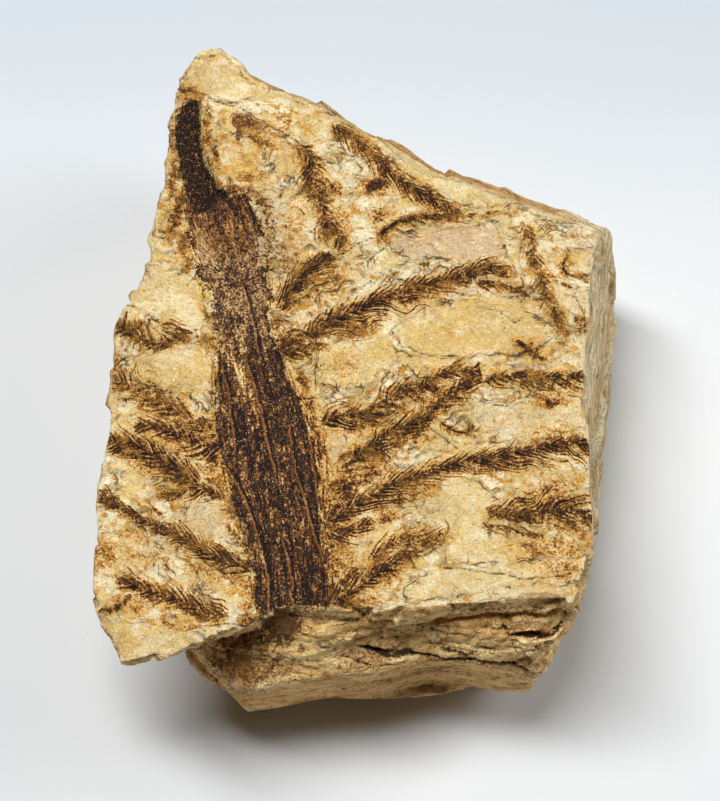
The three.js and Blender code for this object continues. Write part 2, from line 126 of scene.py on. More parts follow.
# path, half width, darkness, needle length on the left and right of the way it grows, lean of the needles
# (forward run for each step outwards), width of its stain
twigs = [
    ([(-7.5, 61.5), (-3, 57.5), (1.5, 52.3), (5.5, 48), (9, 45), (14, 41), (19, 38), (25.5, 34)],
     1.4, 0.75, 2.5, 3.5, 2.2, 3.4),
    ([(-18, 54), (-15.5, 50.5), (-14.6, 45), (-13.8, 40), (-12, 35), (-10, 30), (-7.5, 25.5)],
     1.0, 0.65, 3.5, 6.0, 0.9, 4.0),
    ([(4, 28), (6.5, 30.2), (10, 32), (16, 33.2), (22.7, 33.3), (26, 33.7)], 1.1, 1.2, 0.6, 1.5, 1.5, 1.8),
    ([(26, 33.2), (31, 33.7), (36, 35), (39.5, 34.2)], 0.3, 0.9, 0.1, 0.1, 1.0, 0.8),
    ([(-23, -6.5), (-15, -2.5), (-10, 1), (-5, 3.6), (0, 6), (5, 8.3), (10, 10), (15, 12), (20, 13.5),
      (25, 14.6), (30, 16), (34, 17), (37, 15.6)], 1.3, 0.95, 3.5, 7.0, 1.7, 3.2),
    ([(31, 13.5), (35, 13.3), (39, 12), (43.5, 9.8)], 0.4, 0.9, 0.2, 2.5, 1.5, 1.8),
    ([(-23, 7), (-18.5, 12.5), (-14.5, 17.5), (-10.5, 20)], 1.2, 0.9, 4.0, 4.0, 2.6, 4.0),
    ([(-23, -8), (-18, -7.2), (-12, -5.8)], 1.2, 0.7, 2.0, 3.0, 1.8, 3.0),
    ([(-10, -27.5), (-5, -26.2), (0, -25), (4.5, -23), (9, -19.3), (14, -18.3), (19, -15.5), (24, -13.6),
      (29, -13.5)], 1.0, 0.7, 4.5, 4.0, 1.4, 3.4),
    ([(-6, -41), (-1, -37.5), (4, -33.5), (8, -30.2), (13, -28), (18, -24.4), (23, -20), (28.5, -16)],
     1.05, 0.75, 3.6, 4.6, 1.6, 3.6),
    ([(19.8, -28.4), (22.5, -30.3), (25.2, -31.2), (27.2, -30.2)], 0.75, 1.5, 0.3, 0.3, 1.0, 0.9),
    ([(33, -15.6), (37, -15), (42, -15), (47, -15.2), (52, -15), (57.5, -14.4)],
     0.6, 0.9, 2.0, 5.0, 1.6, 2.2),
    ([(-9.5, -56.5), (-4, -52.6), (0, -50), (5, -47), (10, -44.8), (15, -42.7), (20, -41), (25, -40),
      (30, -39), (35, -38), (40, -37), (45, -36), (50, -34.6), (54, -34), (58.5, -35.2)],
     0.8, 0.9, 3.2, 6.0, 1.9, 2.6),
    ([(-9, -59), (-4, -59), (0.5, -57)], 1.1, 0.75, 2.0, 4.0, 2.0, 3.5),
    ([(-9, -78), (-3, -75), (2, -71.3), (6, -68.3), (10, -66)], 1.5, 0.7, 5.0, 2.5, 2.0, 4.5),
    ([(2, -66), (8, -62.5), (14, -61), (19, -60.5)], 0.8, 0.35, 4.0, 3.0, 2.0, 4.0),
    ([(33.5, -54.5), (40, -54.6), (45, -54.6), (50, -53.5), (55, -53), (59, -55)],
     1.0, 0.78, 7.0, 5.0, 1.3, 2.6),
    ([(30, -57), (36, -58), (40, -59.4), (45.5, -60.2)], 0.35, 0.6, 0.5, 1.0, 2.0, 1.4),
    ([(43.6, 29.6), (44.4, 26), (45, 22), (46, 18.5), (47.4, 15), (48.5, 11), (50.5, 5), (53, -2)],
     0.8, 0.5, 2.4, 3.0, 1.6, 2.0),
    ([(55, 22), (53.3, 18.5), (54.8, 15.8), (59, 14.8)], 0.6, 0.8, 0.5, 0.5, 1.0, 1.4),
    ([(51, 13.6), (55, 11.8)], 0.45, 0.8, 0.2, 0.2, 1.0, 0.8),
    ([(40.5, -5), (44, -8.3), (47, -9.5)], 1.0, 0.8, 1.0, 1.0, 1.5, 2.5),
    ([(58.5, 2.5), (57, 1.5), (58, -1.5)], 0.8, 0.9, 0.2, 0.2, 1.0, 1.2),
    ([(-49, -3.5), (-54.5, -5.6), (-59, -4.6), (-63, -2.6), (-67.5, 0.3)], 0.85, 0.75, 2.0, 6.0, 0.7, 2.4),
    ([(-41, -31.5), (-47, -28), (-52, -24.5), (-58, -21), (-66, -15.5)], 0.7, 0.5, 6.0, 6.5, 1.5, 4.0),
    ([(-46.5, -27.5), (-50.5, -21)], 0.6, 0.85, 0.3, 0.3, 1.0, 1.0),
    ([(-39, -35), (-46, -34.4), (-53, -30.5), (-60, -29)], 0.7, 0.7, 4.0, 4.0, 1.6, 2.6),
    ([(-46.5, -44.5), (-51, -41.5), (-55, -39), (-59, -36.2), (-63, -34.2), (-68, -33)],
     1.1, 0.85, 4.5, 6.0, 1.8, 3.0),
    ([(-39, -49.5), (-43, -47.4), (-50, -48.5), (-54, -49)], 0.5, 0.7, 2.5, 2.5, 1.8, 2.2),
    ([(-31, -69.4), (-35, -68), (-40, -66), (-45, -63.5), (-50, -60.5), (-54, -58.4), (-59, -56), (-64, -53),
      (-70, -49.6)], 0.8, 0.9, 2.6, 5.5, 2.0, 2.2),
    ([(-57.8, -53.6), (-61.5, -50)], 0.45, 1.0, 0.1, 0.1, 1.0, 0.6),
    ([(-54, -54.4), (-58, -50.6)], 0.5, 1.0, 0.1, 0.1, 1.0, 0.6),
    ([(-31, -65), (-36.5, -58)], 0.4, 0.5, 1.0, 1.0, 1.0, 1.4),
    ([(-38, -82.4), (-43, -81), (-47, -79), (-52, -76.7), (-57, -75), (-63, -73)],
     0.9, 0.7, 4.0, 4.6, 1.7, 2.8),
    ([(-61, -77), (-64.5, -80.4), (-68.5, -81)], 0.3, 0.9, 1.0, 1.0, 1.0, 0.8),
]

# middle, the two half sizes, turn in degrees, strength
stains = [
    (-51, 73.6, 4.6, 2.8, -35, 1.05), (-54.6, 60, 1.2, 9, 3, 0.8), (-53.8, 46, 1.3, 9, -6, 0.95),
    (-52, 35, 1.7, 8, -14, 1.5), (-50, 25, 2.0, 5, -10, 0.95), (-48.6, 18.5, 1.8, 3.5, 0, 0.8),
    (-44.6, 60, 1.6, 9, 3, 0.7), (-42, 50, 1.6, 5, 10, 0.55), (-30, 57.5, 5, 1.8, -30, 0.9),
    (-33.5, 45.6, 5, 1.8, 4, 0.75), (-40, 33, 7, 5, 0, 0.9), (-29.8, 37.6, 2.4, 2.6, 0, 1.4),
    (-28, 31, 2.4, 9, 5, 0.95), (-21, 31, 6, 8, -10, 0.4), (-22.5, 20, 6, 8, 6, 0.55),
    (-22.4, 11, 3, 5, 0, 0.6), (-24.5, 0.5, 1.8, 4, 0, 0.8), (-42.8, -5, 2.4, 2.4, 0, 0.95),
    (-44, 5, 2.0, 9, 8, 0.4), (-17.4, -15.5, 1.4, 3.5, 22, 1.3), (-13.6, -29, 1.5, 4, 8, 0.85),
    (-41, -38, 3.4, 5.5, 0, 0.8), (-39, -46, 3.6, 4, 10, 0.7), (-36, -53, 2, 4, 15, 0.6),
    (-2, -44.2, 8, 2.0, 24, 1.1), (-6.5, -47, 4.2, 3.4, 10, 1.5), (4.6, -55.6, 4, 1.8, 15, 0.9),
    (-7.5, -56, 4.5, 8, -6, 1.0), (-7, -66, 3.2, 8, 0, 0.95), (-5, -72, 4, 4, 20, 1.0),
    (-4, -79, 7, 2.4, 6, 1.0), (-3, -38, 5, 4, 40, 0.8), (-6, -13, 5, 6, 0, 0.4),
    (2.1, 42.6, 3.4, 3.2, -20, 1.3), (-9, 41.5, 2.2, 3, 20, 1.0), (3.5, 34, 3.4, 2.4, 20, 0.85),
    (4.8, 26, 4, 1.2, 15, 0.6), (-65, -36.4, 4, 1.9, -26, 0.95), (-58.5, -41.5, 4.5, 1.6, -28, 0.8),
    (48.5, -22, 5, 2.4, 8, 1.0), (-68, -65, 4, 5, 0, 0.75), (-61, -79.5, 6, 2.4, -10, 0.6),
    (-49, -84.5, 7, 2, -8, 0.6), (-29, -83, 3.4, 1.8, 0, 1.4), (-57, -67, 9, 3, -14, 0.45),
    (-42, -70, 7, 3.4, -18, 0.6), (3, -71, 9, 4, 35, 0.7), (12, -62, 9, 3, 8, 0.6),
    (6, -50, 9, 3.4, 25, 0.6), (14, -47, 8, 3, 24, 0.5), (2, -27, 12, 4.4, 15, 0.7),
    (21, -20, 9, 5, 30, 0.75), (10, -32, 9, 4, 30, 0.65), (50, -18, 9, 3, 0, 0.6),
    (50, -32.5, 9, 4, 10, 0.55), (48, -49, 9, 4, 25, 0.75), (53, -57, 6, 4, -10, 0.65),
    (35, -41, 12, 2.6, 5, 0.45), (-12, 12, 9, 5, 40, 0.6), (-16, 45, 3.4, 8, 10, 0.7),
    (-9, 33, 5, 9, 25, 0.5), (4, 50, 7, 3.4, -40, 0.7), (15, 40, 10, 3.4, -36, 0.8),
    (-20, -3, 6, 4, 20, 0.7), (-5, -1, 9, 3.4, 20, 0.6), (13, 9, 13, 3.4, 20, 0.6),
    (-56, -22, 10, 5, -30, 0.6), (-49, -33, 8, 5, -20, 0.7), (-50, -42, 6, 4, -30, 0.75),
    (-60, -38, 7, 3, -25, 0.6), (-45, -48, 7, 3, 0, 0.5), (-36, -68, 7, 4, -28, 0.8),
    (-55, -76, 8, 3.4, -22, 0.65), (-30, -75, 4, 8, 0, 0.6), (-58, 0, 8, 4, -20, 0.4),
    (-68, -12, 1.6, 3.0, 0, 0.7), (48, -64, 12, 5, 5, 0.6), (-62, -60, 8, 3, -15, 0.4),
    (4, -39, 8, 3, 40, 0.7), (15, -33, 6, 3, 30, 0.6), (50, -20, 8, 3, 0, 0.4), (38, -22, 4, 2, 0, 0.45),
    (48, 14, 3, 5, 0, 0.6), (51, 3, 3, 8, 10, 0.45), (51, -70.5, 7, 3, 5, 0.6), (44, -7, 5, 3, -20, 0.55),
    (54, 19, 3, 4, 0, 0.5), (-25, 61, 6, 3, -25, 0.45), (-22, 64, 8, 3, -20, 0.4),
]

# bare, sandy spots in the stem, given the same way
bareSpots = [
    (-42, 19, 3.2, 7, 8, 0.6), (-35.6, 6, 3.2, 4, 0, 0.7), (-34.2, -15, 1.9, 8.5, 22, 1.1),
    (-29.5, 8, 2, 7, 6, 0.5), (-44.5, 24, 2.6, 7, 8, 0.8), (-36, 30, 4, 3, 0, 0.5),
    (-40.5, -1, 1.6, 4, 0, 0.4), (-28.6, -2, 1.3, 6, 10, 0.6), (-33, 20, 4, 4, 0, 0.4),
    (-33.8, -4, 1.8, 5, 12, 0.7),
]

# smooth pieces of the bed: outline, tint (0 cream, 1 pinkish, 4 rust, -1 ochre), how far the edge stands up
plainFlakes = [
    ([(-42.5, 56), (-37, 58.5), (-31, 55), (-26.5, 48.5), (-28.5, 44.8), (-36, 44.6), (-41, 47)],
     -0.7, 0.4),
    ([(5, 26.5), (15, 28.5), (24, 31.5), (34, 31.5), (38, 26), (37.5, 19), (28, 18.5), (22, 20), (13, 19),
      (7, 22)], 1.0, 0.6),
    ([(7, -1), (14, 4.5), (28, 7.5), (42, 5), (51, -2), (45, -8), (30, -9), (22, -9.5), (9, -8)],
     -0.5, 0.5),
    ([(-13, -7), (-6, -5), (5, -3), (8, -9), (4, -17), (-6, -19.5), (-13, -17)], -0.2, 0.5),
    ([(27, -21), (36, -24), (46, -19), (57, -21), (57.5, -30), (43, -34), (28, -34)], 0.1, 0.5),
    ([(-66, -7), (-57, -6.8), (-50, -5), (-43, -8), (-40.5, -16), (-41, -25), (-46, -22), (-53, -19.5),
      (-60, -16.5), (-65, -13)], 0.1, 0.7),
    ([(21, -43), (30, -46), (35, -52), (30, -58), (41, -63), (44, -68), (30, -69), (20, -68), (21, -58),
      (18, -50)], 0.0, 0.4),
    ([(-46, -50), (-38, -50), (-33, -58), (-31, -65), (-40, -61), (-48, -57)], 0.3, 0.5),
    ([(-60, 19), (-52, 17), (-45, 12), (-43, 2), (-47, -2), (-54, 0), (-62, 5), (-66, 7)], -0.1, 0.5),
    ([(-50, 86), (-40, 86), (-35, 79), (-31, 73), (-37, 69), (-45, 71), (-52, 76)], -0.1, 0.6),
    ([(2, 66), (14, 55), (26, 46), (42, 38), (30, 36), (22, 39), (12, 45), (3, 55), (-4, 62)], -0.2, 0.5),
    ([(-72, -58), (-60, -60), (-50, -64), (-56, -70), (-66, -72), (-72, -70)], 0.0, 0.3),
    ([(-72, -84), (-60, -84), (-45, -84), (-38, -90), (-60, -97)], 0.0, 0.4),
    ([(9, -74), (18, -70), (30, -68), (45, -67), (57, -66), (55, -74), (40, -74), (24, -77), (10, -79)],
     -0.2, 0.5),
    ([(30, -76), (40, -73), (52, -72), (50, -78), (36, -80)], 0.2, 0.4),
    ([(-10.5, -30), (-6, -31), (-5, -37), (-9, -40), (-12, -36)], 0.9, 0.5),
    ([(55, 24), (61, 24), (61, 16), (57, 15.5)], -0.1, 0.4),
    ([(-28, 60), (-20, 56), (-17, 50), (-21, 45), (-26, 47)], 1.0, 0.4),
    ([(50, 10), (57, 9), (58, 3), (53, 4)], 0.4, 0.4),
    ([(-38.5, 65.4), (-33, 66.4), (-28, 62), (-32, 59.4), (-37.6, 57.6), (-37, 61)], 4.0, 0.5),
    ([(-53.6, 70.4), (-52.8, 75.4), (-50.6, 76.4), (-47.2, 73), (-45.2, 71), (-49, 70.6)], 4.0, 0.3),
]

# ribs of the stem that stand out orange, with a painted shadow line beside each
stemSeams = [
    [(-37, -41), (-35, -44), (-32.5, -49), (-29.5, -57), (-27, -66), (-25.3, -74), (-25.5, -81)],
    [(-20.5, -31), (-19.2, -40), (-16.5, -50), (-14, -58), (-11.5, -68)],
    [(-32, -12), (-29.5, -20), (-27.5, -28), (-26, -36), (-24, -42)],
    [(-16.5, -24), (-15, -34), (-13.8, -44), (-12.4, -52)],
    [(-38.6, -12), (-36.6, -22), (-35.4, -32), (-34.6, -40)],
    [(-34, 12), (-31, 2), (-29, -8)],
    [(-22, -62), (-20, -70), (-19, -79)],
]

# thin cracks that run on across the face
seams = [
    [(-53, 76), (-47, 73), (-42, 70), (-36, 67.6), (-30, 64), (-24, 60), (-19, 57), (-16, 53.5), (-11, 51),
     (-7, 49)],
    [(-63, -9), (-62, -12), (-63.5, -15), (-60, -16.8), (-55, -18), (-52, -19.6)],
    [(56, 9), (58.3, 5), (58.6, 0)],
    [(0, 20), (5, 24), (2, 27), (-2, 25), (-9, 21)],
    [(-49, 12), (-45, 17), (-40, 17.5)],
    [(-14, -4), (-13, -9), (-14, -14), (-13.5, -19)],
    [(30, 5), (34, 4.4), (38, 2), (40, 0.6), (42, 2)],
    [(12, -25), (18, -31), (24, -36)],
    [(-44, -66), (-38, -70), (-33, -75)],
    [(20, -69), (30, -70.5), (42, -72.5), (52, -71)],
    [(-46, -86), (-36, -84.5), (-28, -84)],
    [(24, -9), (16, -8.4), (10, -6)],
    [(-24, -78.8), (-16.6, -79.2), (-12.1, -79.7), (-8.7, -80.2), (-1.9, -79.8), (4.3, -80.1)],
]

# cracks and breaks of the front: x and height along each, then half width and depth
frontCracks = [
    ([(13, 52.4), (19.7, 53.4), (26, 54.2), (33.9, 54.9), (40.1, 55.4), (46, 55.3), (56, 54.2)],
     0.75, 3.0),
    ([(34.3, 54.5), (35.2, 52.5), (36.4, 50.6), (36.6, 49)], 0.55, 1.8),
    ([(36.5, 50.4), (40.3, 50.7), (44.2, 50.4), (48.9, 50.2), (55, 49.6)], 0.55, 2.2),
    ([(43.4, 50.2), (43.7, 48), (45, 46.2)], 0.5, 1.3),
    ([(-3, 46.6), (3.2, 44.6), (10.7, 43.4), (18, 41.8), (28.1, 42.1), (33.3, 41.2), (38, 39.1),
      (45.3, 34.5), (49, 32.5)], 0.5, 1.5),
    ([(-12.2, 46.3), (-5.9, 45), (-1, 43.6), (3.9, 42.6)], 0.35, 0.9),
    ([(-22.5, 54), (-21.3, 50.9), (-19.6, 47), (-17.4, 43.2), (-13.4, 40.9)], 0.6, 0.35),
    ([(18.6, 46.6), (19, 44.2), (27, 43.6), (28, 46.4)], 0.35, 1.1),
    ([(0, 55.5), (8, 55.2), (14, 56.2), (21, 56.8)], 0.35, 0.8),
]
# the crest where the rough front meets its smooth lower part: x, height
frontCrest = [
    (-40, 25), (-36, 28.7), (-28.3, 38), (-21.4, 38.6), (-15, 39.5), (-8.6, 40.9), (4.3, 41.3),
    (18, 40.4), (28, 40.6), (33, 39.6), (38, 37.4), (45, 33.2), (50, 31),
]
# swells and hollows of the front: x, height, half width, half height, rise
frontLumps = [
    (-13, 51, 6.5, 7, 1.5), (8, 49, 6, 5, -0.7), (-22, 47, 4, 7, -1.0), (23.5, 45, 4, 1.8, 0.8),
    (46, 48, 3, 1.6, -1.0),
]
# dark smudges and painted shade under the overhangs of the front: x, height, half width, half height,
# strength
frontSmudgesAndShade = [
    (15, 27.5, 21, 4.5, 1.0), (-34, 44, 9, 9, 1.7), (-22, 56, 5, 7, 1.6), (2, 44, 7, 2, 0.8),
    (20, 41, 9, 1.6, 1.0), (-33, 20, 6, 7, 0.6), (34, 59, 9, 3, 0.5), (46, 47.5, 4, 2, 0.9),
]
# rough rock of the front reaching up on to the face
lipChips = [
    (44, -78.0, 6, 1.8, 0, 1.0),
]


def smoothStep(value, low, high):
    share = np.clip((value - low) / (high - low), 0.0, 1.0)
    return share * share * (3.0 - 2.0 * share)


def noiseAt(points, size, depth=1, seed=0.0):
    # smooth noise from about -1 to 1, with lumps about size millimetres across
    result = np.zeros(len(points))
    for octave in range(depth):
        scale = 2.0 ** octave / size
        shift = seed * 17.3 + octave * 5.1
        places = ((x * scale + shift, y * scale - shift, z * scale + 0.5 * shift) for x, y, z in points)
        result += np.array([noise.noise(place) for place in places]) * 0.5 ** octave
    return result


def wobbleOf(points, size, depth, seed, nextSeed=None):
    # a noise for each of two directions
    nextSeed = seed + 1.0 if nextSeed is None else nextSeed
    return np.column_stack([noiseAt(points, size, depth, seed), noiseAt(points, size, depth, nextSeed)])


def onFace(spots):
    return np.column_stack([spots, np.zeros(len(spots))])


def outlineGap(spots, outline):
    # distance to a closed outline, positive inside it
    corners = np.array(outline, float)
    nearest = np.full(len(spots), 1e9)
    inside = np.zeros(len(spots), bool)
    for start, end in zip(corners, np.roll(corners, -1, axis=0)):
        edge = end - start
        share = np.clip((spots - start) @ edge / (edge @ edge), 0.0, 1.0)
        nearest = np.minimum(nearest, np.linalg.norm(spots - start - share[:, None] * edge, axis=1))
        crosses = (start[1] > spots[:, 1]) != (end[1] > spots[:, 1])
        rise = edge[1] if abs(edge[1]) > 1e-9 else 1e-9
        inside ^= crosses & (spots[:, 0] < start[0] + (spots[:, 1] - start[1]) * edge[0] / rise)
    return np.where(inside, nearest, -nearest)


def pathSamples(path, spacing):
    # points and directions along a smooth curve through the path
    corners = np.array(path, float)
    ends = np.vstack([2 * corners[0] - corners[1], corners, 2 * corners[-1] - corners[-2]])
    points = []
    for index in range(1, len(ends) - 2):
        before, start, end, after = ends[index - 1:index + 3]
        steps = max(2, int(np.linalg.norm(end - start) / spacing))
        for share in np.arange(steps) / steps:
            points.append(0.5 * (2 * start + (end - before) * share
                                 + (2 * before - 5 * start + 4 * end - after) * share ** 2
                                 + (3 * start - before - 3 * end + after) * share ** 3))
    points.append(corners[-1])
    points = np.array(points)
    ways = np.gradient(points, axis=0)
    ways /= np.linalg.norm(ways, axis=1)[:, None]
    run = np.concatenate([[0.0], np.cumsum(np.linalg.norm(np.diff(points, axis=0), axis=1))])
    return points, ways, run


def nearestSample(spots, points):
    tree = kdtree.KDTree(len(points))
    for index, point in enumerate(points):
        tree.insert((point[0], point[1], 0.0), index)
    tree.balance()
    found = [tree.find((x, y, 0.0))[1:] for x, y in spots]
    return np.array([f[0] for f in found]), np.array([f[1] for f in found])


def twigMarks(spots):
    # for each spot: where its needle starts, how far out along it, and how dark the nearest twig is there
    points, ways, facts = [], [], []
    for number, (path, width, dark, left, right, lean, halo) in enumerate(twigs):
        samplePoints, sampleWays, run = pathSamples(path, 0.4)
        points.append(samplePoints)
        ways.append(sampleWays)
        for step in run:
            facts.append((step, run[-1], width, dark, left, right, lean, halo, number))
    points, ways, facts = np.vstack(points), np.vstack(ways), np.array(facts)
    index, distance = nearestSample(spots, points)
    offset = spots - points[index]
    way = ways[index]
    step, length, width, dark, left, right, lean, halo, number = facts[index].T
    along = step + np.sum(offset * way, axis=1)
    across = way[:, 0] * offset[:, 1] - way[:, 1] * offset[:, 0]
    taper = 1.0 - 0.55 * np.clip(along / length, 0.0, 1.0) ** 2
    side = np.where(across > 0, left, right) * (1.1 + 0.4 * taper)
    wander = noiseAt(onFace(spots), 5.5, 2, 3.0)
    perTwig = np.column_stack([along / 4.0, number * 3.7 + (across > 0), np.zeros(len(spots))])
    sway = noiseAt(perTwig, 1.0, 1, 4.0)
    outwards = np.abs(across)
    root = along - (lean + needles["spread"] * 2.0 * sway) * outwards - needles["curl"] * outwards ** 2
    root += needles["stray"] * needles["spacing"] * wander + 100.0
    beyond = np.maximum(np.maximum(-along, along - length), 0.0)
    reach = (outwards + 1.5 * beyond) / np.maximum(side, 0.05)
    core = distance / (width * taper * (0.85 + 0.6 * wander))
    stain = np.clip(1.0 - distance / (halo + width), 0.0, 1.0)
    seed = number * 2.0 + (across > 0)
    return root, outwards, reach, seed, core, stain, dark


def blobStrength(spots, blobs):
    strongest = np.zeros(len(spots))
    for x, y, wide, tall, turn, strength in blobs:
        cos, sin = math.cos(math.radians(turn)), math.sin(math.radians(turn))
        away = spots - (x, y)
        along = (away[:, 0] * cos + away[:, 1] * sin) / wide
        across = (away[:, 1] * cos - away[:, 0] * sin) / tall
        strongest = np.maximum(strongest, strength * np.exp(-0.9 * (along ** 2 + across ** 2)))
    return strongest


def layerEdges(spots, size, count, seed):
    # the bed breaks along the contours of a noise: share of a step, and distance to the nearest contour
    here = onFace(spots) * (1.0, 1.25, 1.0)
    delta = 0.25
    value = noiseAt(here, size, 3, seed) * count
    slopeX = (noiseAt(here + (delta, 0, 0), size, 3, seed) * count - value) / delta
    slopeY = (noiseAt(here + (0, delta, 0), size, 3, seed) * count - value) / delta
    slope = np.sqrt(slopeX ** 2 + slopeY ** 2) + 0.01
    share = value - np.round(value)
    return share, share / slope


def plates(spots, size, seed):
    # angular plates: each spot's level from 0 to 1, its slant and its distance to the plate's edge
    level, slant, edge = (np.zeros(len(spots)) for _ in range(3))
    for index, (x, y) in enumerate(spots / size):
        here = Vector((x * 0.8, y * 1.2, seed))
        near, second = noise.voronoi(here)[1][:2]
        chance = noise.cell_vector(near * 9.0)
        way = second - near
        level[index] = chance[0]
        slant[index] = (here.x - near.x) * (chance[1] - 0.5) + (here.y - near.y) * (chance[2] - 0.5)
        edge[index] = ((near + second) * 0.5 - here).dot(way) / (way.length + 1e-6)
    return level, slant * size, edge * size


def stemMarks(spots):
    # across the stem from -1 to 1, along it in millimetres, and distance inside its edges
    left, right = (pathSamples(edge, 0.5)[0] for edge in (stemLeft, stemRight))
    outline = np.vstack([left, right[::-1]])
    ragged = spots + 0.55 * wobbleOf(onFace(spots), 3.0, 2, 5.0)
    gap = outlineGap(ragged, outline[::3])
    levels = spots[:, 1]
    leftX = np.interp(levels, left[:, 1], left[:, 0])
    rightX = np.interp(levels, right[:, 1], right[:, 0])
    across = (spots[:, 0] - 0.5 * (leftX + rightX)) / (0.5 * (rightX - leftX))
    return across, levels, gap


def ribGaps(spots):
    # signed distance across to the nearest rib of the stem
    parts = [pathSamples(path, 0.5)[:2] for path in stemSeams]
    points, ways = np.vstack([p[0] for p in parts]), np.vstack([p[1] for p in parts])
    index, distance = nearestSample(spots, points)
    offset = spots - points[index]
    return distance * np.sign(ways[index][:, 0] * offset[:, 1] - ways[index][:, 1] * offset[:, 0])


def meltedCopy():
    # the solid's triangles, merged and turned to an even skin that can be carved
    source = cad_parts["fossil_slab"]
    skin = bmesh.new()
    skin.from_mesh(source.data)
    bmesh.ops.remove_doubles(skin, verts=skin.verts, dist=1e-6)
    mesh = bpy.data.meshes.new("fossilSlab")
    skin.to_mesh(mesh)
    skin.free()
    rough = bpy.data.objects.new("fossilSlab", mesh)
    bpy.context.scene.collection.objects.link(rough)
    remesh = rough.modifiers.new("evenSkin", "REMESH")
    remesh.mode = "VOXEL"
    remesh.voxel_size = slab["voxel"]
    depsgraph = bpy.context.evaluated_depsgraph_get()
    even = bpy.data.meshes.new_from_object(rough.evaluated_get(depsgraph))
    rough.modifiers.clear()
    rough.data = even
    bpy.data.meshes.remove(mesh)
    return rough


def millimetres(skin):
    places = np.array([v.co for v in skin.verts]) * 1000.0
    places[:, 0] -= drawing["middle"][0]
    places[:, 1] -= drawing["middle"][1]
    return places


def faceShare(skin, places):
    # 1 on the split face, 0 on the sides and the back
    skin.normal_update()
    upwards = np.array([v.normal.z for v in skin.verts])
    lowest = slab["faceFloor"]
    return smoothStep(upwards, 0.45, 0.75) * smoothStep(places[:, 2], lowest, lowest + 1.5)


def listedOnce(parts):
    # without repeats and in the mesh's own order, so that every run is alike
    return list(dict.fromkeys(parts))


def refineSkin(skin):
    # one flat resting face, and finer triangles where the fossil and the front are
    base = drawing["baseLevel"] / 1000
    resting = [f for f in skin.faces if f.normal.z < -0.99 and all(v.co.z < base for v in f.verts)]
    corners = listedOnce(v for f in resting for v in f.verts)
    rims = listedOnce(e for f in resting for e in f.edges)
    for vert in corners:
        vert.co.z = 0.0
    bmesh.ops.dissolve_limit(skin, angle_limit=math.radians(0.5), verts=corners, edges=rims)
    skin.verts.ensure_lookup_table()
    places = millimetres(skin)
    skin.verts.index_update()
    share = faceShare(skin, places)
    front = (places[:, 1] < -66) & (places[:, 2] > 36)
    fine = (share > 0.3) | front
    edges = listedOnce(e for f in skin.faces if all(fine[v.index] for v in f.verts) for e in f.edges)
    bmesh.ops.subdivide_edges(skin, edges=edges, cuts=1, use_grid_fill=True)
    skin.verts.ensure_lookup_table()
    skin.verts.index_update()


def smoothVerts(skin, verts, rounds, sideways):
    for _ in range(rounds):
        bmesh.ops.smooth_vert(skin, verts=verts, factor=0.5,
                              use_axis_x=sideways, use_axis_y=sideways, use_axis_z=True)


def smoothFace(skin, share):
    # melts the solid's coarse marks into the stone, leaving its swells, flakes and hollows
    places = millimetres(skin)
    inStrip = outlineGap(places[:, :2], strip) > -3.2
    steps = [v for v in skin.verts if inStrip[v.index] and places[v.index, 2] > slab["faceFloor"]]
    smoothVerts(skin, steps, slab["stripSmoothing"], True)
    inner = [v for v in skin.verts if share[v.index] > 0.95
             and all(share[e.other_vert(v).index] > 0.9 for e in v.link_edges)]
    smoothVerts(skin, inner, slab["smoothing"], False)


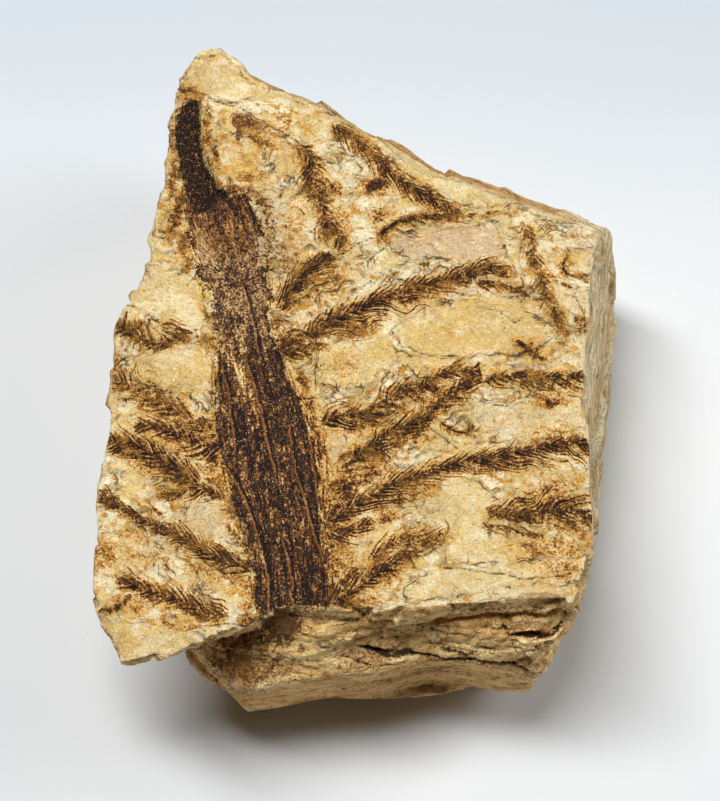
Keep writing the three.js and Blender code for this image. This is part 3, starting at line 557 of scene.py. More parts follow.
def carveFace(places, share):
    spots = places[:, :2]
    flat = onFace(spots)
    root, outwards, reach, seed, core, stain, dark = twigMarks(spots)
    stain = np.maximum(stain * (0.3 + 0.55 * dark), blobStrength(spots, stains))
    across, along, stemGap = stemMarks(spots)
    stain = np.where(stemGap > 0.0, -blobStrength(spots, bareSpots), stain)  # negative where the stem is bare
    ribGap = ribGaps(spots + 0.5 * wobbleOf(flat, 5.0, 2, 14.0))
    wobble = wobbleOf(flat, 4.5, 3, 8.0)
    ragged = spots + 1.1 * wobble
    stripGap = outlineGap(spots + 0.5 * wobble, strip)
    flapGap = outlineGap(spots + 0.8 * wobble, flap)
    inStem = smoothStep(stemGap, -0.4, 0.4)
    inStrip = smoothStep(stripGap, -0.3, 0.3)
    clear = (1.0 - inStem) * (1.0 - inStrip)

    # clean flakes: the nearest outline gives the break, its inside the plain share and the tint
    plain = np.zeros(len(spots))
    tint = np.zeros(len(spots))
    breakGap = np.full(len(spots), 9.0)
    breakRise = np.zeros(len(spots))
    for outline, hue, lip in plainFlakes:
        gap = outlineGap(ragged, outline)
        inside = smoothStep(gap, -0.5, 2.0)
        plain = np.maximum(plain, inside)
        tint = np.where(inside > 0.02, tint * (1 - inside) + hue * inside, tint)
        closer = np.abs(gap) < np.abs(breakGap)
        breakGap = np.where(closer, gap, breakGap)
        breakRise = np.where(closer, lip, breakRise)

    # the bed's own layers, and the plates and chips it parts into
    layerShare, layerGap = layerEdges(spots + 1.3 * wobble, slab["layerSize"], slab["layerCount"], 1.0)
    strong = smoothStep(noiseAt(flat, 16.0, 2, 4.0), -0.35, 0.15)
    layerRise = slab["layerStep"] * strong * (1.0 - 0.6 * plain) * clear
    closer = (np.abs(layerGap) < np.abs(breakGap)) & (layerRise > 0.12)
    breakGap = np.where(closer, layerGap, breakGap)
    breakRise = np.where(closer, layerRise, breakRise)
    plateLevel, plateSlant, plateEdge = plates(spots + 1.2 * wobble, slab["plateSize"], 3.3)
    chipLevel, chipSlant, chipEdge = plates(spots + 0.5 * wobble, slab["chipSize"], 8.8)
    chippy = smoothStep(noiseAt(flat, 12.0, 2, 7.0), -0.25, 0.2) * (1.0 - 0.9 * plain)

    # the thin cracks
    seamPoints = np.vstack([pathSamples(path, 0.5)[0] for path in seams])
    _, seamGap = nearestSample(spots + 0.5 * wobble, seamPoints)

    # needle relief, as dark in the stone's colour as it is high here
    phase = root / needles["spacing"]
    needleTurn = np.abs(phase - np.floor(phase) - 0.5)
    byStep, bySeed, gain = needles["chance"]
    lot = np.modf(np.abs(np.sin(np.floor(phase) * byStep + seed * bySeed) * gain))[0]
    needleLength = needles["shortest"] + (1.0 - needles["shortest"]) * lot
    onNeedle = (1.0 - smoothStep(needleTurn, 0.12, 0.34)) * (1.0 - smoothStep(reach / needleLength, 0.7, 1.0))
    onCore = 1.0 - smoothStep(core, 0.5, 1.2)

    # fibres run along the stem
    sideways = drawing["stemHalf"] * across + 0.35 * along * 0.3
    fibres = np.column_stack([sideways, along * 0.12, np.full(len(spots), 2.0)])
    fibre = noiseAt(fibres, 2.4, 2, 11.0)

    lift = np.zeros(len(spots))
    lift += breakLip(breakGap, breakRise * slab["flakeLip"])
    lift += layerRise * (0.5 * np.tanh(layerGap / 0.28) - layerShare)
    plateRise = slab["plateStep"] * (plateLevel - 0.6) + slab["plateLean"] * plateSlant
    chipRise = slab["chipStep"] * (chipLevel - 0.6) + slab["chipLean"] * chipSlant
    lift += (1.0 - 0.75 * plain) * clear * plateRise
    lift += chippy * clear * chipRise
    lift -= 0.35 * np.exp(-(seamGap / 0.45) ** 2)
    lift += slab["twigRise"] * onCore * (1.0 - inStem)
    lift += slab["needleRise"] * onNeedle * (1.0 - inStem) * clear
    lift += inStem * (1.0 - inStrip) * slab["fibreRise"] * 2.0 * fibre
    lift += inStem * 0.3 * np.exp(-np.abs(ribGap) / 1.2) * np.tanh(ribGap / 0.3)
    lift -= slab["stemStep"] * 0.5 * np.exp(-np.abs(stemGap) / 2.5) * np.tanh(stemGap / 0.25)
    lift -= slab["stripStep"] * 0.5 * np.exp(-np.abs(stripGap) / 2.5) * np.tanh(stripGap / 0.3)
    lift += slab["swellFine"] * noiseAt(flat, 6.0, 2, 12.0) * (1.0 - 0.4 * plain)
    lift += slab["swellGrain"] * 2.0 * noiseAt(flat, 1.7, 2, 13.0) * (1.0 - 0.5 * plain)
    places[:, 2] += lift * share
    # the strip's own steep sides count as face, the front's rock where it reaches up does not
    shown = np.maximum(share, smoothStep(stripGap, -3.4, -2.4) * smoothStep(places[:, 2], 55.0, 56.0))
    shown *= 1.0 - smoothStep(blobStrength(spots + 0.7 * wobble, lipChips), 0.3, 0.6)
    return {
        "needleMap": (root, outwards, reach),
        "twigMap": (core, stain, dark),
        "stemMap": (across, along, stemGap),
        "breakMap": (breakGap, breakRise, seamGap),
        "patchMap": (plain, tint, seed),
        "stripMap": (stripGap, flapGap, shown),
        "plateMap": (plateLevel, plateEdge, ribGap),
        "chipMap": (chipLevel, chipEdge, chippy),
    }


def breakLip(gap, rise):
    return rise * np.exp(-np.abs(gap) / 2.2) * np.tanh(gap / 0.25)


def facetLean(places, size):
    # flat broken facets: every cell of the rock leans its own way
    lean = []
    for place in places / size:
        centre = noise.voronoi(Vector(place))[1][0]
        tilt = noise.cell_vector(centre * 7.0)
        lean.append((Vector(place) - centre).dot(Vector((tilt[0] - 0.5, tilt[1] - 0.5, tilt[2] - 0.5))))
    return np.array(lean) * size * slab["facetTilt"]


def carveSides(skin, places, share):
    # broken rock: beds stepped in and out, open joints between them, tilted facets and grain
    skin.normal_update()
    outwards = np.array([v.normal[:] for v in skin.verts])
    sides = (1.0 - share) * smoothStep(places[:, 2], 0.0, 2.5)
    upright = 1.0 - smoothStep(np.abs(outwards[:, 2]), 0.75, 0.95)
    front = smoothStep(-places[:, 1], 66.0, 74.0) * smoothStep(-outwards[:, 1], 0.2, 0.5)
    crest = np.interp(places[:, 0], *np.array(frontCrest, float).T)
    crest = crest + 0.6 * noiseAt(places * (1, 0, 0), 7.0, 2, 27.0)
    overCrest = places[:, 2] - crest
    rough = front * smoothStep(overCrest, -0.6, 1.2)
    foot = front * (1.0 - smoothStep(overCrest, -1.2, 0.6))
    ragged = rough * smoothStep(places[:, 0], -25.0, 15.0) * smoothStep(places[:, 2], 34.0, 42.0)

    level = places[:, 2] + slab["bedWaver"] * noiseAt(places, 30.0, 2, 21.0)
    joints = np.array(slab["bedLevels"], float)
    bed = np.searchsorted(joints, level)
    offset = noiseAt(np.column_stack([places[:, 0] / 15, places[:, 1] / 15, bed * 7.31]), 1.0, 2, 22.0)
    nearest = np.min(np.abs(level[:, None] - joints), axis=1)
    inBeds = np.column_stack([places[:, 0] / 13, places[:, 1] / 13, level / 3.1])
    opened = smoothStep(noiseAt(inBeds, 1.0, 2, 25.0), 0.05, 0.45)
    joint = np.exp(-(nearest / 0.4) ** 2) * opened * (1.0 - foot)
    joint *= 1.0 - 0.8 * rough * smoothStep(level, 54.0, 57.0)

    # long open cracks along the front, and breaks across the block between them
    seen = places[:, [0, 2]]
    crackPoints, crackFacts = [], []
    for path, halfWidth, depth in frontCracks:
        points, _, run = pathSamples(path, 0.4)
        crackPoints.append(points)
        ends = [min(1.0, step / 4, (run[-1] - step) / 4) for step in run]
        crackFacts.extend((halfWidth, depth * (0.35 + 0.65 * end)) for end in ends)
    wave = 0.45 * wobbleOf(places, 5.0, 2, 26.0, 31.0)
    index, crackGap = nearestSample(seen + wave, np.vstack(crackPoints))
    halfWidth, depth = np.array(crackFacts)[index].T
    crackGap = np.where(front > 0.3, crackGap + 0.4 * (1.0 - smoothStep(depth, 0.3, 1.4)), 9.0)
    openCrack = depth * np.exp(-(crackGap / halfWidth) ** 4) * front
    lump = sum(blobStrength(seen, [(x, height, wide, tall, 0, abs(rise))]) * np.sign(rise)
               for x, height, wide, tall, rise in frontLumps) * front
    # dark smudges on the front, partly real dirt and partly painted shade under its overhangs
    smudge = blobStrength(seen, [(*place, 0, strength) for *place, strength in frontSmudgesAndShade])

    broken = noiseAt(places, 12.0, 3, 23.0)
    hackly = noiseAt(places, 4.2, 2, 28.0)
    grain = noiseAt(places, 1.9, 2, 24.0)
    calm = 1.0 - 0.75 * foot
    push = slab["sideBroken"] * broken * (1.0 - 0.4 * rough) + slab["sideGrain"] * grain * (0.6 + 1.2 * rough)
    push = calm * push + 0.15 * rough * hackly
    push += upright * calm * slab["bedOffset"] * (1.1 - 0.7 * front + 0.8 * ragged) * offset
    push -= upright * calm * slab["bedOpening"] * (0.7 - 0.4 * front + 0.6 * ragged) * joint
    facets = calm * facetLean(places, slab["facetSize"]) * (1.1 - 0.5 * front + 0.8 * rough)
    push += facets - openCrack + 0.7 * lump
    push += rough * facetLean(places * (0.7, 0.7, 1.5), slab["chunkSize"]) * 0.9
    push += front * 1.5 * np.exp(-np.abs(overCrest) / 2.6)
    push += foot * 0.14 * noiseAt(places * (0.1, 0.1, 1.0), 1.6, 2, 29.0)
    places += outwards * (push * sides)[:, None]
    bedPhase = np.interp(level, joints, np.arange(len(joints)))  # a whole number at every joint
    parted = opened * (1.0 - foot) * (1.0 - 0.8 * rough) * sides
    smudge = (smudge - np.maximum(lump, 0.0)) * front * sides
    return (bedPhase, parted, foot), (rough - foot) * sides, smudge, crackGap


def bendMap(skin, places):
    # how far each spot stands out of its neighbours: positive on an edge, negative in a crease
    links = np.array([(e.verts[0].index, e.verts[1].index) for e in skin.edges])
    skin.normal_update()
    outwards = np.array([v.normal[:] for v in skin.verts])
    span = places[links[:, 1]] - places[links[:, 0]]
    length = np.linalg.norm(span, axis=1) + 1e-6
    count = np.bincount(links.ravel(), minlength=len(places))

    def spread(first, second):
        starts = np.bincount(links[:, 0], first, len(places))
        return (starts + np.bincount(links[:, 1], second, len(places))) / count

    near, far = (np.sum(span * outwards[links[:, end]], axis=1) for end in (0, 1))
    bend = spread(-near / length, far / length)
    fine = 0.5 * bend + 0.5 * spread(bend[links[:, 1]], bend[links[:, 0]])
    wide = fine
    for _ in range(10):
        wide = 0.4 * wide + 0.6 * spread(wide[links[:, 1]], wide[links[:, 0]])
    return fine, wide, wide - fine


def keepInside(places):
    # nothing stands out of the solid's own box
    hair = 0.02
    shift = np.array([*drawing["middle"], 0.0])
    low, high = (np.array(corner) * 1000.0 - shift for corner in cadBox)
    np.clip(places, low + (hair, hair, 0.0), high - hair, out=places)


def writeMaps(mesh, maps):
    for name, values in maps.items():
        attribute = mesh.attributes.new(name, "FLOAT_VECTOR", "POINT")
        attribute.data.foreach_set("vector", np.column_stack(values).astype(np.float32).ravel())


def drawInFoot(places):
    # the middle of the front's foot stands back, and further where it meets the table
    x, y, height = places.T
    inset = smoothStep(x, -27.0, -8.0) * (1.0 - smoothStep(x, 30.0, 44.0))
    inset *= (1.0 - smoothStep(height, 10.0, 34.0)) + 1.2 * (1.0 - smoothStep(height, 0.0, 9.0))
    places[:, 1] += slab["undercut"] * inset * smoothStep(-y, 60.0, 76.0)


def buildSlab():
    piece = meltedCopy()
    skin = bmesh.new()
    skin.from_mesh(piece.data)
    refineSkin(skin)
    places = millimetres(skin)
    share = faceShare(skin, places)
    smoothFace(skin, share)
    places = millimetres(skin)
    share = faceShare(skin, places)
    maps = carveFace(places, share)
    drawInFoot(places)
    beds, zone, smudge, crackGap = carveSides(skin, places, share)
    keepInside(places)
    for vert, (x, y, z) in zip(skin.verts, places):
        vert.co = ((x + drawing["middle"][0]) / 1000, (y + drawing["middle"][1]) / 1000, z / 1000)
    maps["bedMap"] = beds
    maps["bendMap"] = bendMap(skin, places)
    maps["wallMap"] = (zone, smudge, crackGap)
    skin.to_mesh(piece.data)
    skin.free()
    writeMaps(piece.data, maps)
    solid = bmesh.new()
    solid.from_mesh(piece.data)
    bmesh.ops.triangulate(solid, faces=solid.faces)
    for face in solid.faces:
        face.smooth = True
    solid.to_mesh(piece.data)
    solid.free()
    print("slab:", len(piece.data.polygons), "triangles")
    return piece


class Signal:
    # a shader socket that can be reckoned with like a number
    def __init__(self, socket):
        self.socket = socket

    def __add__(self, other):
        return calc("ADD", self, other)

    def __radd__(self, other):
        return calc("ADD", other, self)

    def __sub__(self, other):
        return calc("SUBTRACT", self, other)

    def __rsub__(self, other):
        return calc("SUBTRACT", other, self)

    def __mul__(self, other):
        return calc("MULTIPLY", self, other)

    def __truediv__(self, other):
        return calc("DIVIDE", self, other)

    def __rtruediv__(self, other):
        return calc("DIVIDE", other, self)

    def __abs__(self):
        return calc("ABSOLUTE", self)


def plug(value, socket):
    if isinstance(value, Signal):
        socket.id_data.links.new(value.socket, socket)
    else:
        socket.default_value = value


def newNode(kind, values, **settings):
    # a node in the tree that its values come from, with each value in the input of that name or number
    tree = next(value.socket.id_data for value in values.values() if isinstance(value, Signal))
    node = tree.nodes.new(kind)
    for name, setting in settings.items():
        setattr(node, name, setting)
    for place, value in values.items():
        plug(value, node.inputs[place])
    return node


def calc(operation, *values):
    return Signal(newNode("ShaderNodeMath", dict(enumerate(values)), operation=operation).outputs[0])


def vectorCalc(operation, values):
    return Signal(newNode("ShaderNodeVectorMath", values, operation=operation).outputs[0])


def largest(result, *others):
    for value in others:
        result = calc("MAXIMUM", result, value)
    return result


def swing(value, gain):
    # a noise value turned to a push up or down
    return (value - 0.5) * gain


def fract(value):
    return calc("FRACT", value)


def floor(value):
    return calc("FLOOR", value)


def squareRoot(value):
    return calc("SQRT", value)


def chanceOf(value, gain):
    # a value from 0 to 1 that looks random from one whole number to the next
    return fract(abs(calc("SINE", value) * gain))


def fade(value, low, high, start=0.0, end=1.0):
    values = dict(enumerate((value, low, high, start, end)))
    return Signal(newNode("ShaderNodeMapRange", values, interpolation_type="SMOOTHSTEP").outputs[0])


def blend(factor, first, second, way="MIX"):
    values = {0: factor, 6: first, 7: second}
    return Signal(newNode("ShaderNodeMix", values, data_type="RGBA", blend_type=way).outputs[2])


def grainNoise(vector, size, detail=2.0, roughness=0.55, warp=0.0, output="Fac"):
    values = {"Vector": vector, "Scale": 1.0 / size, "Detail": detail}
    values.update({"Roughness": roughness, "Distortion": warp})
    return Signal(newNode("ShaderNodeTexNoise", values).outputs[output])


def stretched(vector, scale, shift=(0.0, 0.0, 0.0), turn=0.0):
    values = {"Vector": vector, "Location": shift, "Rotation": (0.0, 0.0, math.radians(turn)), "Scale": scale}
    return Signal(newNode("ShaderNodeMapping", values).outputs["Vector"])


def shifted(vector, *shift):
    return stretched(vector, (1, 1, 1), shift)


def axesOf(vector):
    return [Signal(socket) for socket in newNode("ShaderNodeSeparateXYZ", {0: vector}).outputs]


def joined(x, y, z):
    return Signal(newNode("ShaderNodeCombineXYZ", {0: x, 1: y, 2: z}).outputs[0])


def readMap(tree, name):
    node = tree.nodes.new("ShaderNodeAttribute")
    node.attribute_name = name
    return axesOf(Signal(node.outputs["Vector"]))


def pointIn(tree):
    # the place on the piece, in millimetres
    place = tree.nodes.new("ShaderNodeTexCoord")
    return stretched(Signal(place.outputs["Object"]), (1000, 1000, 1000))


def shade(red, green, blue):
    # a screen colour, 0 to 255, as the shader's own
    parts = ((c / 255 / 12.92) if c <= 10 else ((c / 255 + 0.055) / 1.055) ** 2.4 for c in (red, green, blue))
    return (*parts, 1.0)


def newGroup(name, inputs, outputs):
    tree = bpy.data.node_groups.new(name, "ShaderNodeTree")
    for label, kind, value in inputs:
        socket = tree.interface.new_socket(label, in_out="INPUT", socket_type=kind)
        if value is not None:
            socket.default_value = value
    for label in outputs:
        tree.interface.new_socket(label, in_out="OUTPUT", socket_type="NodeSocketFloat")
    given = tree.nodes.new("NodeGroupInput")
    result = tree.nodes.new("NodeGroupOutput")
    return tree, [Signal(given.outputs[label]) for label, _, _ in inputs], result.inputs


def specksGroup():
    # scattered specks: 1 on a speck, 0 between them
    tree, (vector, size, cover), result = newGroup("specks", [
        ("Vector", "NodeSocketVector", None),
        ("Size", "NodeSocketFloat", 0.5),
        ("Cover", "NodeSocketFloat", 0.3),
    ], ["Mask"])
    low = 0.72 - cover * 0.44
    plug(fade(grainNoise(vector, size, 2.0, 0.6), low, low + 0.07), result["Mask"])
    return tree


def chipsGroup():
    # angular chips: a chance value for each chip, and the distance to its edge
    tree, (vector, size, ragged), result = newGroup("chips", [
        ("Vector", "NodeSocketVector", None),
        ("Size", "NodeSocketFloat", 3.0),
        ("Ragged", "NodeSocketFloat", 1.0),
    ], ["Chance", "Edge"])
    push = grainNoise(vector, size * 0.5, 3.0, 0.6, output="Color")
    push = vectorCalc("SUBTRACT", {0: push, 1: (0.5, 0.5, 0.5)})
    push = vectorCalc("SCALE", {0: push, "Scale": ragged})
    place = {"Vector": vectorCalc("ADD", {0: vector, 1: push}), "Scale": 1.0 / size}
    cells = newNode("ShaderNodeTexVoronoi", place)
    edges = newNode("ShaderNodeTexVoronoi", place, feature="DISTANCE_TO_EDGE")
    parts = newNode("ShaderNodeSeparateColor", {0: Signal(cells.outputs["Color"])})
    plug(Signal(parts.outputs[0]), result["Chance"])
    plug(Signal(edges.outputs["Distance"]) * size, result["Edge"])
    return tree


specksTree = specksGroup()
chipsTree = chipsGroup()


def specks(vector, size, cover):
    values = {"Vector": vector, "Size": size, "Cover": cover}
    return Signal(newNode("ShaderNodeGroup", values, node_tree=specksTree).outputs["Mask"])


def chips(vector, size, ragged):
    values = {"Vector": vector, "Size": size, "Ragged": ragged}
    node = newNode("ShaderNodeGroup", values, node_tree=chipsTree)
    return Signal(node.outputs["Chance"]), Signal(node.outputs["Edge"])


def painted(color, *coats):
    # coats of the named tones, each laid where its mask is high
    for mask, tone in coats:
        color = blend(mask, color, tones[tone])
    return color


tones = {
    "cream": shade(226, 203, 146),
    "paleCream": shade(242, 229, 190),
    "sand": shade(202, 175, 123),
    "ochre": shade(217, 184, 110),
    "pink": shade(204, 176, 140),
    "chalk": shade(240, 232, 208),
    "greyStone": shade(172, 152, 116),
    "gold": shade(204, 146, 60),
    "rust": shade(144, 90, 38),
    "copper": shade(176, 112, 50),
    "umber": shade(108, 73, 49),
    "bark": shade(68, 42, 26),
    "coal": shade(32, 21, 16),
    "darkBrown": shade(48, 32, 19),
    "vein": shade(98, 66, 34),
    "sideTan": shade(230, 187, 122),
    "sideOlive": shade(208, 168, 106),
    "sideBrown": shade(178, 132, 76),
}


def readStone(tree):
    # the drawing and the noises that every part of the stone reads
    here = SimpleNamespace()
    here.point = pointIn(tree)
    here.root, here.outwards, here.reach = readMap(tree, "needleMap")
    here.core, here.stain, here.dark = readMap(tree, "twigMap")
    here.across, here.along, here.stemGap = readMap(tree, "stemMap")
    here.breakGap, here.breakRise, here.seamGap = readMap(tree, "breakMap")
    plain, here.tint, here.seed = readMap(tree, "patchMap")
    here.stripGap, here.flapGap, here.face = readMap(tree, "stripMap")
    here.plateLevel, here.plateEdge, here.ribGap = readMap(tree, "plateMap")
    _, here.chipEdge, here.chippy = readMap(tree, "chipMap")
    here.bedPhase, here.parted, here.foot = readMap(tree, "bedMap")
    here.bendFine, here.bendWide, _ = readMap(tree, "bendMap")
    here.zone, here.smudge, here.crackGap = readMap(tree, "wallMap")
    here.wallRough = largest(here.zone, 0.0)
    here.broad = grainNoise(here.point, 26.0, 3.0)
    here.middle = grainNoise(shifted(here.point, 31, 7, 3), 7.0, 4.0, 0.6, 0.4)
    here.blotch = grainNoise(shifted(here.point, 3, 17, 8), 3.0, 3.0, 0.65)
    here.fine = grainNoise(here.point, 1.5, 4.0, 0.7)
    here.dust = grainNoise(here.point, 0.45, 2.0, 0.6)
    here.speck = grainNoise(shifted(here.point, 19, 2, 7), 0.62, 2.0, 0.75)
    here.rough = 1.0 - plain
    return here


def bareRock(here):
    # bare rock of the face, a mosaic of chips in slightly different tones
    here.chance, here.edge = chips(stretched(here.point, (0.8, 1.2, 1.0)), 4.6, 1.8)
    here.smallChance, _ = chips(stretched(here.point, (0.85, 1.15, 1.0), (7, 3, 1)), 1.7, 0.8)
    rock = blend(fade(here.broad, 0.4, 0.62), tones["cream"], tones["ochre"])
    pinkish = largest(here.tint, 0.0) * fade(here.blotch, 0.25, 0.5) * 0.85
    yellowish = largest(here.tint * -1.0, 0.0) * 0.8
    rock = painted(
        rock,
        (fade(here.middle, 0.48, 0.66, 0.0, 0.8), "paleCream"),
        (fade(here.middle, 0.48, 0.34, 0.0, 0.6), "sand"),
        (fade(here.plateLevel, 0.45, 0.2, 0.0, 0.5), "sand"),
        (fade(here.plateLevel, 0.66, 0.8, 0.0, 0.45), "paleCream"),
        (fade(here.chance, 0.72, 0.76) * fade(here.rough, 0.0, 1.0, 0.25, 0.6), "paleCream"),
        (fade(here.chance, 0.22, 0.18) * fade(here.rough, 0.0, 1.0, 0.1, 0.6), "ochre"),
        (fade(here.smallChance, 0.84, 0.88) * here.rough * fade(here.middle, 0.4, 0.55) * 0.45, "chalk"),
        (fade(here.smallChance, 0.2, 0.16) * here.rough * fade(here.blotch, 0.42, 0.56), "gold"),
        (pinkish, "pink"),
        (yellowish, "ochre"),
    )
    # the flap over the stem's top is stained yellow and orange
    inFlap = fade(here.flapGap, -0.6, 0.8)
    flapColor = blend(fade(here.blotch, 0.45, 0.6), tones["ochre"], tones["gold"])
    flapColor = blend(fade(here.middle, 0.48, 0.58, 0.0, 0.8), flapColor, tones["paleCream"])
    rock = blend(inFlap * 0.75, rock, flapColor)
    wedge = (fade(here.tint, 1.1, 1.6)
             * (1.0 + swing(here.fine, 2.5) + swing(here.blotch, 1.5) + swing(here.speck, 1.5)))
    return painted(
        rock,
        (fade(wedge, 0.3, 0.5), "rust"),
        (fade(wedge, 0.8, 1.1, 0.0, 0.9), "bark"),
    )


def layFilm(here):
    # the brown film of stain, needles and twigs, broken up by its own grain
    here.lengthwise = joined(here.across * drawing["stemHalf"], here.along * 0.18, 0.0)
    strandBeside = grainNoise(here.lengthwise, 0.9, 3.0, 0.7, 0.6)
    phase = here.root / needles["spacing"]
    turn = abs(fract(phase) - 0.5)
    step = floor(phase)
    byStep, bySeed, gain = needles["chance"]
    lot = chanceOf(step * byStep + here.seed * bySeed, gain)
    other = chanceOf(step * 2.9 + here.seed * 5.3, 57.1)
    away = here.reach / (needles["shortest"] + lot * (1.0 - needles["shortest"]))
    halfWidth = squareRoot(largest(1.0 - away, 0.0)) * 0.44
    here.needle = fade(turn - halfWidth, -0.08, 0.02, 1.0, 0.0)
    rim = (fade(abs(turn - halfWidth), 0.02, 0.12, 1.0, 0.0) * fade(away, 1.05, 0.9)
           * fade(other, 0.5, 0.3))
    streak = grainNoise(joined(here.root, here.outwards * 0.17, here.seed * 3.7), 1.25, 2.0, 0.6)
    here.outer = fade(away, 0.5, 1.15, 1.0, 0.0) * fade(here.dark, 0.3, 1.0, 0.6, 1.0)
    onNeedle = here.needle * fade(away, 0.1, 1.0, 1.0, 0.75) * (0.1 + other * 0.56 + swing(streak, 1.5))
    onRim = rim * fade(streak, 0.44, 0.58) * 0.2
    needleField = fade(here.dark, 0.3, 1.0, 0.7, 1.0) * fade(here.middle, 0.38, 0.5, 0.6, 1.0)
    needleField = needleField * (onNeedle + onRim + here.outer * (0.13 + swing(streak, 1.0)))
    strand = grainNoise(joined(here.core * 2.2, here.root * 0.3, here.seed), 1.0, 3.0, 0.7)
    coreField = (fade(here.core, 0.1, 1.4, 1.0, 0.0) * here.dark
                 * (0.85 + swing(here.middle, 1.8) + swing(strand, 1.5)))
    besideStem = (fade(here.stemGap, -7.0, -0.5) * fade(here.along, -4.0, -24.0)
                  * fade(here.across, 0.0, 0.5))
    besideField = besideStem * (0.5 + swing(strandBeside, 2.4))
    laidStain = largest(here.stain, 0.0)
    stainField = laidStain * (0.56 + swing(here.middle, 0.7) + swing(here.blotch, 0.7))
    fringe = largest(fade(here.stemGap, -2.8, -0.3), fade(here.stripGap, -2.4, -0.3))
    fringeField = fringe * (0.32 + swing(strandBeside, 2.0) + swing(here.middle, 1.6))
    here.laid = largest(coreField, stainField + needleField, besideField, fringeField, 0.0)
    grain = swing(here.speck, 2.0) + swing(here.fine, 1.7) + swing(here.blotch, 0.7)
    here.film = here.laid + grain * fade(here.laid, 0.0, 0.35, 0.22, 0.9)


def filmOver(here, rock):
    # the brown film, and the grey ash beside the stem's top
    rock = painted(
        rock,
        (fade(here.laid, 0.05, 0.4, 0.0, 0.7), "ochre"),
        (fade(here.film, 0.14, 0.26, 0.0, 0.85), "gold"),
        (fade(here.film, 0.32, 0.42, 0.0, 0.95), "rust"),
        (fade(here.film, 0.5, 0.62), "bark"),
        (fade(here.film, 0.78, 0.9), "coal"),
    )
    ash = (fade(here.stemGap, -11.0, -1.0) * fade(here.across, 0.0, 0.6)
           * fade(abs(here.along - 27.0), 20.0, 8.0))
    return painted(
        rock,
        (ash * fade(here.film, 0.5, 0.3) * 0.5, "greyStone"),
        (fade(ash * 0.3 + swing(here.speck, 1.8) + swing(here.fine, 1.4), 0.34, 0.5, 0.0, ash), "darkBrown"),
    )


def cracksOver(here, rock):
    # cracks and the edges of layers, plates and chips, dark with dirt and painted shadow under their steps,
    # then grit and faint dashes along the bed
    gate = fade(grainNoise(shifted(here.point, 60, 2, 9), 5.0, 2.0), 0.46, 0.55)
    here.gateFine = fade(grainNoise(shifted(here.point, 6, 20, 9), 3.0, 2.0), 0.5, 0.6)
    hair = fade(here.blotch, 0.3, 0.7, 0.16, 0.6)
    breakLine = (fade(abs(here.breakGap), 0.0, hair, 1.0, 0.0) * fade(here.breakRise, 0.1, 0.5)
                 * fade(gate, 0.0, 1.0, 0.25, 1.0))
    plateLine = (fade(here.plateEdge, 0.0, hair * 0.8, 1.0, 0.0) * gate
                 * fade(here.rough, 0.0, 1.0, 0.3, 1.0))
    chipLine = fade(here.chipEdge, 0.0, hair * 0.7, 1.0, 0.0) * here.gateFine * here.chippy
    mosaicLine = fade(here.edge, 0.0, 0.22, 1.0, 0.0) * here.gateFine * here.rough
    here.seamLine = fade(here.seamGap, 0.1, 0.5, 1.0, 0.0)
    # dark edge lines: dirt and painted shadow along the steps
    here.lines = largest(breakLine, plateLine * 0.65, chipLine * 0.55, here.seamLine, mosaicLine * 0.4)
    seep = largest(fade(abs(here.breakGap), 0.2, 1.2, 0.6, 0.0),
                   fade(here.plateEdge, 0.1, 0.9, 0.7, 0.0) * gate)
    lineColor = blend(largest(breakLine, here.seamLine), tones["vein"], tones["darkBrown"])
    rock = blend(seep * fade(here.fine, 0.42, 0.58) * fade(here.middle, 0.42, 0.56), rock, tones["gold"])
    rock = blend(here.lines * fade(here.fine, 0.36, 0.5, 0.35, 0.95), rock, lineColor)
    dashes = specks(stretched(here.point, (0.4, 1.7, 1), (4, 4, 4), -14), 0.8, 0.3)
    clean = fade(here.film, 0.3, 0.1)
    return painted(
        rock,
        (dashes * fade(here.blotch, 0.42, 0.6) * 0.4, "rust"),
        (specks(here.point, 0.6, 0.24) * 0.6, "darkBrown"),
        (specks(shifted(here.point, 9, 9, 9), 0.9, 0.26) * clean * 0.5, "chalk"),
    )


